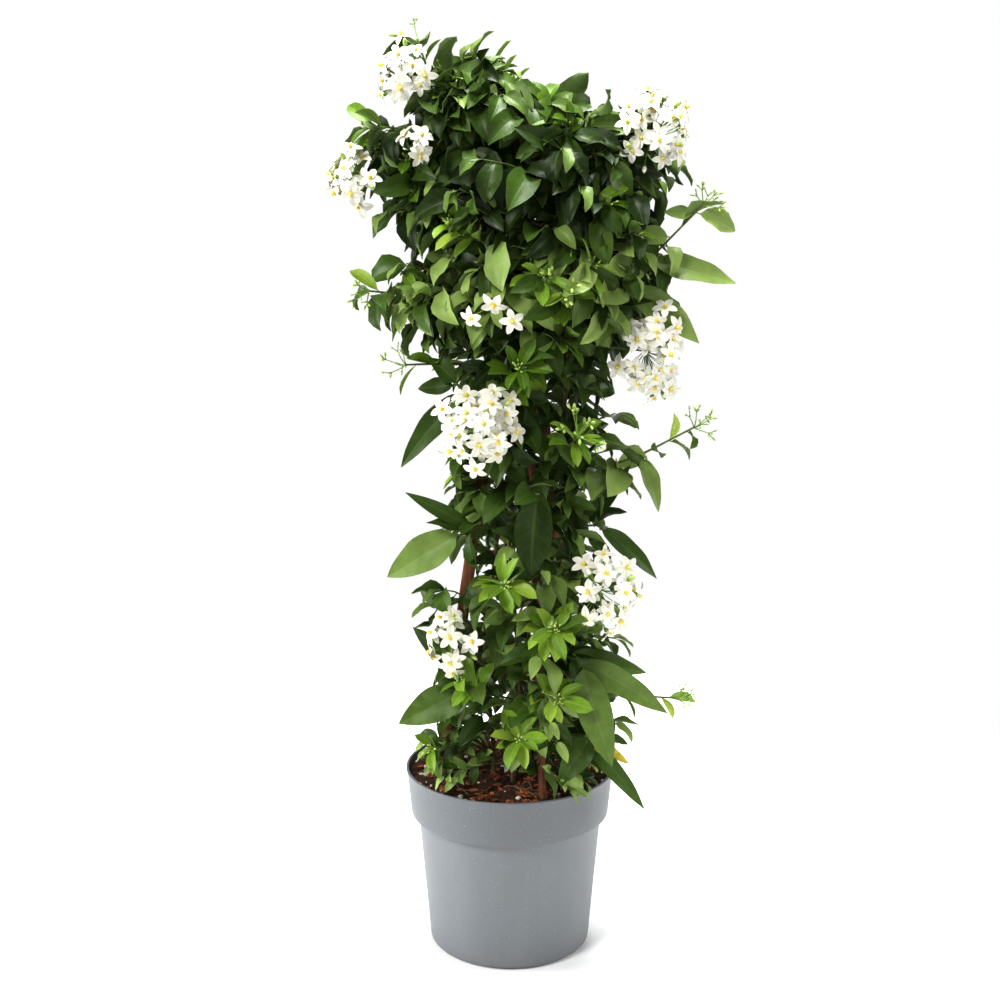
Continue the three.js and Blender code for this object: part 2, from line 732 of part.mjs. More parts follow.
function buildHead([name, root, place, facing, radius, tall, flowers], seed) {
  const centre = vec(...place);
  const faces = vec(...facing).normalize();
  const hub = centre.clone().addScaledVector(faces, -headShape.hubBack * radius);
  const { growth } = growTwig(name, root, hub, lifts.head);
  growth.addCore(hub, flowerSize.core * radius);
  const draw = drawsFrom(seed);
  for (let i = 0; i < flowers; i++) {
    const way = capDirection(faces, i, flowers, headShape.openness, draw);
    const spot = way.clone().multiplyScalar(radius * (headShape.nearest + headShape.depths * draw()));
    spot.z *= tall;
    growth.addFlower(hub, spot.add(centre), way.lerp(faces, headShape.faceTogether).normalize());
  }
  return growth.finish('petal');
}

function buildSingles(singles) {
  const end = vec(...singles.end);
  const { growth } = growTwig(singles.name, singles.root, end, lifts.head);
  growth.addCore(end, 2 * stalkSize.twig);
  for (const { centre, faces } of singles.flowers) {
    growth.addFlower(end, vec(...centre), vec(...faces).normalize());
  }
  return growth.finish('petal');
}

function addLeaves(growth, twig, bare, kind, count, draw) {
  for (let i = 0; i < count; i++) growth.addLeaf(twig, leafOnTwig(twig, bare, kind, i, count, draw));
}

function addBuds(growth, twig, count, draw) {
  const heading = twig.curve.getTangent(1).addScaledVector(up, budSize.rise).normalize();
  for (let i = 0; i < count; i++) {
    const way = capDirection(heading, i, count, budSize.openness, draw);
    const length = budSize.length * (budSize.shortest + budSize.lengths * draw());
    growth.addBud(twig.curve.getPoint(1 - budSize.spacing * (i % 3)), way, length);
  }
}

function buildYoungTip([name, root, end, leaves, buds], seed) {
  const { growth, twig } = growTwig(name, root, vec(...end), lifts.young);
  const draw = drawsFrom(seed);
  addLeaves(growth, twig, twigBare.young, 'young', leaves, draw);
  addBuds(growth, twig, buds, draw);
  return growth.finish('young');
}

function hangingLeaf(base, tip, width) {
  const { arch, fold, cuts, rise, faces, out } = largeLeaf;
  const span = tip.clone().sub(base);
  const heading = span.clone().normalize().addScaledVector(up, Math.tan(arch / 2) * rise);
  const facing = vec(...faces).addScaledVector(outwardAt(tip), out);
  const length = (span.length() * arch) / 2 / Math.sin(arch / 2);
  return { ...orientLeaf(base, heading, facing, 0), length, width, arch, fold, cuts };
}

function buildShoot(name, root, end, hang, lift) {
  const { growth, twig } = growTwig(name, root, vec(...end), lift);
  for (const [share, tip, width] of hang) {
    growth.addLeaf(twig, hangingLeaf(twig.curve.getPoint(share * largeLeaf.root), vec(...tip), width));
  }
  return { growth, twig };
}

function buildArm([name, root, end, lift, kind, leaves, buds, hang], seed) {
  const { growth, twig } = buildShoot(name, root, end, hang, lift);
  const draw = drawsFrom(seed);
  addLeaves(growth, twig, twigBare.arm, kind, leaves, draw);
  addBuds(growth, twig, buds, draw);
  return growth.finish('leaf');
}

// A place in the leaf mass: 0 is its middle at that height and 1 is its edge
function massSpot(height, turn, share) {
  const [left, right, deep] = tableAt(plantEdges, height);
  const [, middleY] = tableAt(plantMiddle, height);
  const x = (left + right) / 2 + ((right - left) / 2) * share * Math.cos(turn);
  return vec(x, middleY + deep * share * Math.sin(turn), height);
}

function buildSpray(tier, index, seed) {
  const draw = drawsFrom(seed);
  const root = tier.lowest + ((tier.highest - tier.lowest) * index) / (tier.sprays - 1);
  const middleTurn = index * goldenTurn + tier.firstTurn;
  let growth = null;
  let main = null;
  for (let k = 0; k < tier.twigs; k++) {
    const way = k % 2 === 0 ? k / 2 : -(k + 1) / 2;
    const turn = middleTurn + way * tier.fan + (draw() - 0.5) * sprayShape.turn;
    const rise = k === 0 ? sprayShape.firstRise + draw() : sprayShape.lowest + sprayShape.rises * draw();
    const end = massSpot(root + tier.rise * rise, turn, tier.reach + tier.reaches * draw());
    let twig = null;
    if (k === 0) {
      ({ growth, twig } = growTwig(`${tier.name}_${index + 1}`, root, end, lifts.spray));
      main = twig;
    } else {
      twig = growth.addTwig(main.curve.getPoint(sprayShape.fork), end, lifts.spray);
    }
    if (twig) addLeaves(growth, twig, twigBare.spray, tier.kind, tier.leaves, draw);
  }
  return growth.finish('leaf');
}

// A flower that has dropped between the stems and lies face up, its stub just clear of the soil
function buildFallenFlower() {
  const { x, y, shrink, stub, tilt, turn } = fallenFlower;
  const star = flowerGeometry(vec(0, 0, -stub), vec(0, 0, 0), up).scale(shrink, shrink, shrink);
  const mesh = meshOf('fallen_flower', star, 'petal');
  mesh.rotation.set(tilt, 0, turn);
  mesh.position.set(x, y, soilHeight(x, y) + clear + stub * shrink);
  return mesh;
}

// Assembly

const plant = new THREE.Group();
plant.name = 'potted_potato_vine';

const pot = buildPot();
const laths = lathSize.feet.map((foot) => lathMesh(foot, 0));
const stems = stemSize.turns.map((_, i) => meshOf(`stem_${i}`, stemGeometry(i, 0), 'bark'));
stemSize.turns.forEach((_, i) => stemShells.push(solidOf(stemGeometry(i, clear))));
const lathShells = lathSize.feet.map((foot) => placedSolid(lathMesh(foot, clear)));
const soil = buildSoil([...stemShells, ...lathShells]);
const tie = buildTie(laths);

plant.add(pot, soil, ...laths, tie, ...stems);
for (const mesh of plant.children) stand(mesh.name, placedSolid(mesh));

flowerHeads.forEach((head, i) => plant.add(buildHead(head, 100 + i)));
plant.add(buildSingles(singleFlowers));
youngTips.forEach((tip, i) => plant.add(buildYoungTip(tip, 200 + i)));
for (const [name, root, end, hang] of leafyShoots) {
  plant.add(buildShoot(name, root, end, hang, 0).growth.finish('leaf'));
}
arms.forEach((arm, i) => plant.add(buildArm(arm, 300 + i)));
sprayTiers.forEach((tier, t) => {
  for (let i = 0; i < tier.sprays; i++) plant.add(buildSpray(tier, i, 400 + 20 * t + i));
});
plant.add(buildFallenFlower());

export default plant;
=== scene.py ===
# Potted potato vine: a grey nursery pot, soil, three tied laths, four twining stems, leaves and
# white star flowers. The scene is in metres with Z up, and its origin is the middle of the pot's underside.
# Lengths in the dictionaries are millimetres and turns are radians, but the stage, lamps and camera have
# metres and degrees. A pair that is named for a range of random values gives the least and what is added.

import json
import math

import bpy
import numpy as np
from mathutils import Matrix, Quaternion, Vector, noise
from mathutils.bvhtree import BVHTree

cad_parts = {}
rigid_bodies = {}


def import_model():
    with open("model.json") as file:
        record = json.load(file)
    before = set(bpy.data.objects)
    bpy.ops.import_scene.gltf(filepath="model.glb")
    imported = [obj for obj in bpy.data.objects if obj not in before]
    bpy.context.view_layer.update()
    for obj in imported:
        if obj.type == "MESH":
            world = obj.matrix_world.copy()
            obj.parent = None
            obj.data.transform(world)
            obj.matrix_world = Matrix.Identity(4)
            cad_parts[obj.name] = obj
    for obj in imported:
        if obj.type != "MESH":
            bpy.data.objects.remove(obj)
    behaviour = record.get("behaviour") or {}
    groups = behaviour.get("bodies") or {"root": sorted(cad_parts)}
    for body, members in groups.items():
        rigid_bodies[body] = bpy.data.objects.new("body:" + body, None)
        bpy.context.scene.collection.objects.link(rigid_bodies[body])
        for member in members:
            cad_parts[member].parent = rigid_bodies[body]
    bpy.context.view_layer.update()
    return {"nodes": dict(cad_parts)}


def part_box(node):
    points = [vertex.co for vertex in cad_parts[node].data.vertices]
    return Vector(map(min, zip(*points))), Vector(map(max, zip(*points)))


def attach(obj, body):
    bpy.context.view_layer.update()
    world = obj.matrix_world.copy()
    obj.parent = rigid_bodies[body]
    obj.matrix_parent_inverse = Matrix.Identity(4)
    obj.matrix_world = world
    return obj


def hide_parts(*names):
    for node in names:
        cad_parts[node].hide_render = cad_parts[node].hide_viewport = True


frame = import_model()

mm = 0.001
up = Vector((0, 0, 1))
goldenTurn = 2.39996
anyTurn = 6.28  # a random turn is a share of this

# Random draws from 0 to 1 that repeat for a seed; each row of pieces has a first seed of its own
drawRule = {"seedTimes": 7919, "times": 16807, "modulus": 2147483647}
seeds = {"head": 100, "tip": 200, "arm": 300, "spray": 400, "nextTier": 20, "own": 1000, "singles": 1150,
         "shootOwn": 1300, "armOwn": 1320, "fill": 1500, "litter": 1700}


def drawsFrom(seed):
    state = (seed * drawRule["seedTimes"]) % drawRule["modulus"]

    def draw():
        nonlocal state
        state = (state * drawRule["times"]) % drawRule["modulus"]
        return state / drawRule["modulus"]

    return draw


def within(span, draw):
    return span[0] + span[1] * draw()


def mixed(a, b, share):
    return a + (b - a) * share


def tableAt(rows, height):  # a row of the table at a height, eased between the rows
    if height <= rows[0][0]:
        return rows[0][1:]
    for low, high in zip(rows, rows[1:]):
        if height <= high[0]:
            share = (height - low[0]) / (high[0] - low[0])
            eased = share * share * (3 - 2 * share)
            return [mixed(a, b, eased) for a, b in zip(low[1:], high[1:])]
    return rows[-1][1:]


# Materials

def fromHex(colour):
    parts = [int(colour[i:i + 2], 16) / 255 for i in (1, 3, 5)]
    return [c / 12.92 if c <= 0.04045 else ((c + 0.055) / 1.055) ** 2.4 for c in parts] + [1.0]


def fillRamp(ramp, stops):  # colours blended along a value
    while len(ramp.elements) < len(stops):
        ramp.elements.new(0.5)
    for element, (place, colour) in zip(ramp.elements, stops):
        element.position = place
        element.color = fromHex(colour)


def setUp(tree, node, settings):  # an input that is set to a node is linked to that node's first output
    for name, value in settings.items():
        if name == "stops":
            fillRamp(node.color_ramp, value)
        elif isinstance(name, str) and name not in node.inputs:
            setattr(node, name, value)
        elif isinstance(value, bpy.types.Node):
            tree.links.new(value.outputs[0], node.inputs[name])
        elif isinstance(value, bpy.types.NodeSocket):
            tree.links.new(value, node.inputs[name])
        else:
            node.inputs[name].default_value = value


def add(tree, kind, settings=None):
    node = tree.nodes.new("ShaderNode" + kind)
    setUp(tree, node, settings or {})
    return node


def newMaterial(name):
    material = bpy.data.materials.new(name)
    material.use_nodes = True
    return material, material.node_tree, material.node_tree.nodes["Principled BSDF"]


# Leaf blade with a waxy cuticle: it gives a soft gloss on the face, a paler dull back and sunk veins
leafFinish = {
    "mature": {
        "colours": [(0.0, "#1f2f0e"), (0.45, "#435c20"), (1.0, "#8ea35c")],
        "vein": "#94a962", "veinShare": 0.09, "back": "#748854", "gloss": 0.42, "backGloss": 0.6,
        "pairs": 6.0,  # pairs of side veins
    },
    "young": {
        "colours": [(0.0, "#526f1c"), (0.5, "#75942f"), (1.0, "#adc056")],
        "vein": "#b4cc6e", "veinShare": 0.18, "back": "#93ae5c", "gloss": 0.4, "backGloss": 0.58,
        "pairs": 5.0,
    },
    "patch": 9, "patchDetail": 3.0, "patchDepth": 0.22,  # paler and darker patches on a blade
    # Where a vein fades, from its core to its edge, as shares of half the blade and of the step between veins
    "midrib": (0.03, 0.13), "sideVein": (0.02, 0.13), "sideShare": 0.35, "slant": 0.17,
    "backShare": 0.72, "sunk": 0.35, "bump": 0.35, "ior": 1.45,
    "sheen": 0.26,  # share of the shader's mirror light: wax dulled by dust and fine hairs
}


def makeLeafMaterial(name, style):
    finish = leafFinish
    material, tree, shader = newMaterial(name)
    blade = add(tree, "Attribute", {"attribute_name": "blade"}).outputs["Vector"]
    across, along, tone = add(tree, "SeparateXYZ", {0: blade}).outputs
    back = add(tree, "Attribute", {"attribute_name": "back"}).outputs["Fac"]
    patches = add(tree, "TexNoise", {"Scale": 1 / (finish["patch"] * mm), "Detail": finish["patchDetail"],
                                     "Vector": add(tree, "TexCoord").outputs["Object"]})
    depth = finish["patchDepth"]
    patch = add(tree, "Math", {"operation": "MULTIPLY_ADD", 0: patches, 1: depth, 2: -depth / 2})
    shade = add(tree, "Math", {"operation": "ADD", "use_clamp": True, 0: tone, 1: patch})
    green = add(tree, "ValToRGB", {"stops": style["colours"], 0: shade})
    width = add(tree, "Math", {"operation": "ABSOLUTE", 0: across})
    core, edge = finish["midrib"]
    midrib = add(tree, "MapRange", {"Value": width, "From Min": core, "From Max": edge,
                                    "To Min": 1.0, "To Max": 0.0})
    off = width  # becomes the distance from the nearest side vein, in steps between the veins
    for operation, second in (("MULTIPLY", -finish["slant"]), ("ADD", along), ("MULTIPLY", style["pairs"]),
                              ("FRACT", 0.0), ("SUBTRACT", 0.5), ("ABSOLUTE", 0.0)):
        off = add(tree, "Math", {"operation": operation, 0: off, 1: second})
    core, edge = finish["sideVein"]
    sideVein = add(tree, "MapRange", {"Value": off, "From Min": core, "From Max": edge,
                                      "To Min": finish["sideShare"], "To Max": 0.0})
    veins = add(tree, "Math", {"operation": "MAXIMUM", 0: midrib, 1: sideVein})
    coat = green
    for key, source, share in (("vein", veins, style["veinShare"]), ("back", back, finish["backShare"])):
        factor = add(tree, "Math", {"operation": "MULTIPLY", 0: source, 1: share})
        coat = add(tree, "Mix", {"data_type": "RGBA", "Factor": factor, 6: coat,
                                 7: fromHex(style[key])}).outputs[2]
    gloss = add(tree, "MapRange", {"Value": back, "To Min": style["gloss"], "To Max": style["backGloss"]})
    bump = add(tree, "Bump", {"Strength": finish["bump"], "Distance": finish["sunk"] * mm, "invert": True,
                              "Height": veins})
    setUp(tree, shader, {"Base Color": coat, "Roughness": gloss, "Normal": bump, "IOR": finish["ior"],
                         "Specular IOR Level": finish["sheen"]})
    return material


# Thin live petals: matt white that warms to green-yellow at the heart, with a faint keel down each lobe:
# a low ridge, with painted shade along it that greys the white
petalFinish = {
    "heart": (0.1, "#d3d690"), "white": (0.32, "#e5e4d8"), "gloss": 0.55,
    # the keel's colour is painted shade along its ridge
    "shadedKeel": "#d6d6c4", "keelCore": 0.02, "keelEdge": 0.2, "keelShare": 0.7, "relief": 0.3, "bump": 0.4,
}


def makePetalMaterial():
    finish = petalFinish
    material, tree, shader = newMaterial("matt live petal")
    blade = add(tree, "Attribute", {"attribute_name": "blade"}).outputs["Vector"]
    across, along, _ = add(tree, "SeparateXYZ", {0: blade}).outputs
    white = add(tree, "ValToRGB", {"stops": [finish["heart"], finish["white"]], 0: along})
    width = add(tree, "Math", {"operation": "ABSOLUTE", 0: across})
    shadedKeel = add(tree, "MapRange", {"Value": width, "From Min": finish["keelCore"],
                                  "From Max": finish["keelEdge"], "To Min": finish["keelShare"],
                                  "To Max": 0.0})
    # Painted shade: the white greys along each lobe's keel
    colour = add(tree, "Mix", {"data_type": "RGBA", "Factor": shadedKeel, 6: white, 7: fromHex(finish["shadedKeel"])})
    bump = add(tree, "Bump", {"Strength": finish["bump"], "Distance": finish["relief"] * mm,
                              "Height": shadedKeel})
    setUp(tree, shader, {"Base Color": colour.outputs[2], "Roughness": finish["gloss"], "Normal": bump})
    return material


# Injection-moulded polypropylene: an even satin grey with faint flow streaks, pale flecks and dust by the
# foot; the band below the lip is a little darker: painted shade, for the light that its outward slope misses
potFinish = {
    "grey": (0.3, "#6c7073"), "pale": (0.75, "#727679"), "gloss": 0.42, "dullest": 0.52, "ior": 1.49,
    "streaks": [26, 26, 5], "streakDetail": 4.0,  # streaks in a metre round the pot and up its side
    "fleck": "#a2a6a9", "fleckEvery": 2.3, "fleckHalf": 0.15, "fleckCore": 0.6, "rare": 0.68,
    # the rim colour darkens the band below the lip: painted shade
    "rim": "#5f6366", "rimFrom": 124, "rimTo": 128, "rimShadeShare": 0.7,
    "dust": "#707274", "dustHeight": 30, "dustShare": 0.35, "skin": 1, "relief": 0.1, "bump": 0.12,
}


def makePotMaterial():
    finish = potFinish
    material, tree, shader = newMaterial("moulded polypropylene")
    place = add(tree, "TexCoord").outputs["Object"]
    height = add(tree, "SeparateXYZ", {0: place}).outputs[2]
    streaked = add(tree, "Mapping", {"Scale": finish["streaks"], "Vector": place})
    streaks = add(tree, "TexNoise", {"Scale": 1.0, "Detail": finish["streakDetail"], "Vector": streaked})
    grey = add(tree, "ValToRGB", {"stops": [finish["grey"], finish["pale"]], 0: streaks})
    cells = add(tree, "TexVoronoi", {"Scale": 1 / (finish["fleckEvery"] * mm), "Randomness": 1.0,
                                     "Vector": place})
    half = finish["fleckHalf"]
    dots = add(tree, "MapRange", {"Value": cells.outputs["Distance"], "From Min": half,
                                  "From Max": finish["fleckCore"] * half})
    chance = add(tree, "SeparateXYZ", {0: cells.outputs["Color"]})
    rare = add(tree, "Math", {"operation": "GREATER_THAN", 0: chance, 1: finish["rare"]})
    flecks = add(tree, "Math", {"operation": "MULTIPLY", 0: dots, 1: rare})
    # Painted shade: the band below the lip darkens from the neck up
    rimShade = add(tree, "MapRange", {"Value": height, "From Min": finish["rimFrom"] * mm,
                                   "From Max": finish["rimTo"] * mm, "To Min": 0.0,
                                   "To Max": finish["rimShadeShare"]})
    low = add(tree, "MapRange", {"Value": height, "From Min": 0.0, "From Max": finish["dustHeight"] * mm,
                                 "To Min": finish["dustShare"], "To Max": 0.0})
    coat = grey
    for key, share in (("rim", rimShade), ("fleck", flecks), ("dust", low)):
        coat = add(tree, "Mix", {"data_type": "RGBA", "Factor": share, 6: coat,
                                 7: fromHex(finish[key])}).outputs[2]
    gloss = add(tree, "MapRange", {"Value": streaks, "To Min": finish["gloss"], "To Max": finish["dullest"]})
    skin = add(tree, "TexNoise", {"Scale": 1 / (finish["skin"] * mm), "Vector": place})
    bump = add(tree, "Bump", {"Strength": finish["bump"], "Distance": finish["relief"] * mm,
                              "Height": skin})
    setUp(tree, shader, {"Base Color": coat, "Roughness": gloss, "Normal": bump, "IOR": finish["ior"]})
    return material


# Surfaces patterned by noise in real millimetres, two grain sizes mixed over a run of colours: name, colours,
# grain, roughness, depth of the relief and how the grain stretches on each axis
grainFinishes = {
    # Pollen-dusted anthers pressed into a cone: matt egg yellow
    "anther": ("pollen dusted anther", [(0.2, "#d6b344"), (0.7, "#ecd568")], 1.2, 0.7, 0.1),
    # Sappy young stalks and calyces: yellow-green, olive in the hollows, half glossy
    "stalk": ("sappy green stalk", [(0.1, "#55702f"), (0.5, "#7c9a3e"), (0.9, "#94a552")], 6, 0.5, 0.1),
    # Green twigs under thin cork: dull olive, darker in patches
    "twig": ("green twig bark", [(0.1, "#3a4520"), (0.5, "#57662f"), (0.9, "#7a8446")], 5, 0.65, 0.15),
    # Closed flower buds: waxy pale yellow-green
    "bud": ("waxy closed bud", [(0.2, "#8fae45"), (0.8, "#c8d68a")], 3, 0.45, 0.05),
    # Buds about to open: waxy greenish white
    "whiteBud": ("waxy white bud", [(0.2, "#dbe0bd"), (0.8, "#f2f2e6")], 3, 0.45, 0.05),
    # Thin lignified bark with fine lengthwise cracks: dull grey-brown to olive
    "bark": ("thin lignified bark", [(0.15, "#46371f"), (0.5, "#6a5a35"), (0.85, "#8a7c50")], 2.4, 0.8, 0.5,
             (1, 1, 0.18)),
    # Sawn meranti lath: red-brown with long pale grain and a rough sawn skin
    "lath": ("sawn meranti lath", [(0.1, "#4b2a18"), (0.45, "#724429"), (0.85, "#a06a48")], 1.6, 0.72, 0.4,
             (1, 1, 0.05)),
    # Annealed binding wire gone dull: dark grey with a brown bloom
    "tie": ("dulled binding wire", [(0.2, "#3c3a37"), (0.8, "#6b655d")], 1.5, 0.5, 0.1),
    # Peat potting mix: near-black crumbs with red-brown bits, no gloss
    "soil": ("peat potting mix", [(0.05, "#1c110a"), (0.45, "#3d2415"), (0.8, "#6b4129")], 3.2, 0.96, 1.6),
    # Composted bark chips: torn red-brown faces
    "chip": ("composted bark chip", [(0.1, "#4a2411"), (0.5, "#8a4d2a"), (0.9, "#c98f63")], 2.5, 0.9, 0.6,
             (1, 1, 0.5)),
    # Expanded perlite: chalky off-white grains
    "perlite": ("expanded perlite", [(0.1, "#c9c2b2"), (0.7, "#eeeae0")], 1.5, 0.9, 0.4),
    # Dry roots and fibres: straw brown
    "root": ("dry root fibre", [(0.2, "#6d4f31"), (0.8, "#a98a5f")], 3, 0.85, 0.1),
    # Withered leaf: papery yellow
    "withered": ("papery withered leaf", [(0.1, "#8f8a24"), (0.5, "#c6b436"), (0.9, "#dccb55")], 5, 0.75,
                 0.2),
}
grainShape = {"detail": 5.0, "rough": 0.6, "fineDetail": 3.0, "fineTimes": 5, "fineShare": 0.35,
              "least": 0.3, "most": 0.7, "bump": 0.8}


def makeGrainMaterial(name, colours, grain, roughness, relief, stretch=(1, 1, 1)):
    shape = grainShape
    material, tree, shader = newMaterial(name)
    scaled = add(tree, "Mapping", {"Scale": [share / mm for share in stretch],
                                   "Vector": add(tree, "TexCoord").outputs["Object"]})
    coarse = add(tree, "TexNoise", {"Scale": 1 / grain, "Detail": shape["detail"],
                                    "Roughness": shape["rough"], "Vector": scaled})
    small = add(tree, "TexNoise", {"Scale": shape["fineTimes"] / grain, "Detail": shape["fineDetail"],
                                   "Vector": scaled})
    both = add(tree, "Mix", {"Factor": shape["fineShare"], 2: coarse, 3: small})
    wide = add(tree, "MapRange", {"Value": both, "From Min": shape["least"], "From Max": shape["most"]})
    colour = add(tree, "ValToRGB", {"stops": colours, 0: wide})
    bump = add(tree, "Bump", {"Strength": shape["bump"], "Distance": relief * mm, "Height": both})
    setUp(tree, shader, {"Base Color": colour, "Roughness": roughness, "Normal": bump})
    return material


finishes = {
    "leaf": makeLeafMaterial("waxy mature leaf", leafFinish["mature"]),
    "young": makeLeafMaterial("soft young leaf", leafFinish["young"]),
    "petal": makePetalMaterial(),
    "pot": makePotMaterial(),
}
for key, row in grainFinishes.items():
    finishes[key] = makeGrainMaterial(*row)
print("materials made:", len(finishes))


# Meshes gathered piece by piece in millimetres, with a blade place (across, along, tone) on every corner

def newMesh(name, spots, faces):
    mesh = bpy.data.meshes.new(name)
    mesh.from_pydata(spots, [], faces)
    return mesh


def newObject(name, data, place=(0, 0, 0)):
    holder = bpy.data.objects.new(name, data)
    holder.location = place
    bpy.context.scene.collection.objects.link(holder)
    return holder


class Gathered:
    def __init__(self):
        self.spots, self.blades, self.backs = [], [], []
        self.faces, self.slots, self.finishes = [], [], []
        self.count = 0

    def take(self, spots, faces, finish, blades=None, backs=None):
        spots = np.asarray(spots, float).reshape(-1, 3)
        if finish not in self.finishes:
            self.finishes.append(finish)
        self.spots.append(spots)
        self.blades.append(np.zeros((len(spots), 3)) if blades is None else blades)
        self.backs.append(np.zeros(len(spots)) if backs is None else backs)
        self.faces.extend([[corner + self.count for corner in face] for face in faces])
        self.slots.extend([self.finishes.index(finish)] * len(faces))
        self.count += len(spots)

    def mesh(self, name):
        return newMesh(name, (np.concatenate(self.spots) * mm).tolist(), self.faces)


def makePiece(name, gathered, nodes, sharpAngle=0.95):
    mesh = gathered.mesh(name)
    for finish in gathered.finishes:
        mesh.materials.append(finishes[finish])
    mesh.polygons.foreach_set("material_index", gathered.slots)
    mesh.polygons.foreach_set("use_smooth", [True] * len(mesh.polygons))
    blade = mesh.attributes.new("blade", "FLOAT_VECTOR", "POINT")
    blade.data.foreach_set("vector", np.concatenate(gathered.blades).ravel())
    back = mesh.attributes.new("back", "FLOAT", "POINT")
    back.data.foreach_set("value", np.concatenate(gathered.backs))
    mesh.set_sharp_from_angle(angle=sharpAngle)
    mesh.validate()
    piece = newObject(name, mesh)
    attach(piece, "root")
    if nodes:
        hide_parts(*nodes)
    return piece


def turnedTo(heading):  # matrix that turns the Z axis to the heading
    return np.array(up.rotation_difference(heading).to_matrix())


def turnsRound(count, shift=0.0):  # turns of points spread evenly on a circle
    return [2 * math.pi * (k + shift) / count for k in range(count)]


def ringSpots(radius, height, count):
    return [(radius * math.cos(turn), radius * math.sin(turn), height) for turn in turnsRound(count)]


def ringFaces(rings, count, turned=False):  # a closed body on rings of corners that follow each other
    sides = []
    for i in range(rings - 1):
        for k in range(count):
            a, b = i * count + k, i * count + (k + 1) % count
            sides.append([a, b, b + count, a + count])
    ends = [list(range(count))[::-1], list(range((rings - 1) * count, rings * count))]
    if turned:
        return [[a, d, c, b] for a, b, c, d in sides] + [end[::-1] for end in ends]
    return sides + ends


def rowFaces(rows, count):  # faces between rows of corners; a row of one corner is a point
    faces = []
    for low, high in zip(rows, rows[1:]):
        for k in range(count):
            corners = [low[k % len(low)], low[(k + 1) % len(low)], high[(k + 1) % len(high)],
                       high[k % len(high)]]
            faces.append(list(dict.fromkeys(corners)))
    return faces


def takeTube(gathered, path, radii, sides, finish):  # a tube along the path, with both ends closed
    path = [Vector(spot) for spot in path]
    ways = [(b - a).normalized() for a, b in zip(path, path[1:])]
    ways = [ways[0]] + [(a + b).normalized() for a, b in zip(ways, ways[1:])] + [ways[-1]]
    side = ways[0].orthogonal().normalized()
    spots = []
    for spot, way, radius in zip(path, ways, radii):
        side = (side - way * side.dot(way)).normalized()
        other = way.cross(side)
        for turn in turnsRound(sides):
            spots.append(spot + (side * math.cos(turn) + other * math.sin(turn)) * radius)
    gathered.take([tuple(spot) for spot in spots], ringFaces(len(path), sides), finish)


def takeLathe(gathered, base, heading, profile, sides, finish, size=1.0, flute=0.0):
    spots, rows = [], []  # profile rows are radius and height; the first and last radius may be zero
    for radius, height in profile:
        rows.append([])
        for angle in turnsRound(sides) if radius else [0]:
            reach = radius * size * (1 + flute * math.cos(flower["lobes"] * angle))
            rows[-1].append(len(spots))
            spots.append((reach * math.cos(angle), reach * math.sin(angle), height * size))
    faces = rowFaces(rows, sides)
    if profile[0][0] > 0:
        faces.append(rows[0][::-1])
    if profile[-1][0] > 0:
        faces.append(rows[-1])
    gathered.take(np.array(spots) @ turnedTo(heading).T + np.array(base), faces, finish)


# The plan that the frame was grown from, repeated here: places in millimetres

plan = {
    "stemTurns": [-2.2, -0.35, 1.35, 2.3], "passHeight": 450, "twist": 0.0042, "bottom": 112, "top": 738,
    "lastRoot": 734,
    "spread": [[112, 12], [165, 18], [300, 31], [400, 27], [450, 30], [500, 37], [560, 34], [640, 44],
               [738, 74]],
    "middle": [[112, 2, 2], [400, 10, 4], [600, 12, 5], [740, 20, 4]],
    "bends": [(0, 0), (0.35, 0), (-0.35, 0), (0, 0.4), (0, -0.4), (0.7, 0.2), (-0.7, 0.2), (0.5, -0.4),
              (-0.5, -0.4)],
    "kneeLift": 30, "kneeSwing": 20, "rootShifts": [0, -16, 16, -32, 32],
    "bare": {"young": 0.62, "arm": 0.25, "spray": 0.3}, "lifts": {"head": 6, "young": -6, "spray": 10},
    # Edges of the leaf mass: height, left edge, right edge, reach to the front and back
    "edges": [[165, -80, 92, 80], [222, -74, 108, 86], [293, -74, 100, 86], [346, -74, 98, 84],
              [400, -64, 88, 80], [450, -62, 94, 80], [506, -52, 84, 78], [542, -56, 94, 84],
              [568, -84, 116, 92], [598, -94, 140, 100], [628, -76, 150, 108], [658, -78, 152, 112],
              [690, -112, 154, 112], [714, -108, 152, 108], [734, -58, 134, 98], [750, -62, 96, 88],
              [766, -64, 50, 68], [780, -66, 16, 48], [797, -56, -8, 28]],
    "near": 1.6,  # a part of the frame lies within this of its place in the plan
    "twigChecks": (0.35, 0.5, 0.65, 0.85, 0.97), "leafChecks": (0.46, 0.75, 0.97),  # where they are compared
    "kneeRound": 0.12, "twigSteps": 7, "thinnest": 6,
}

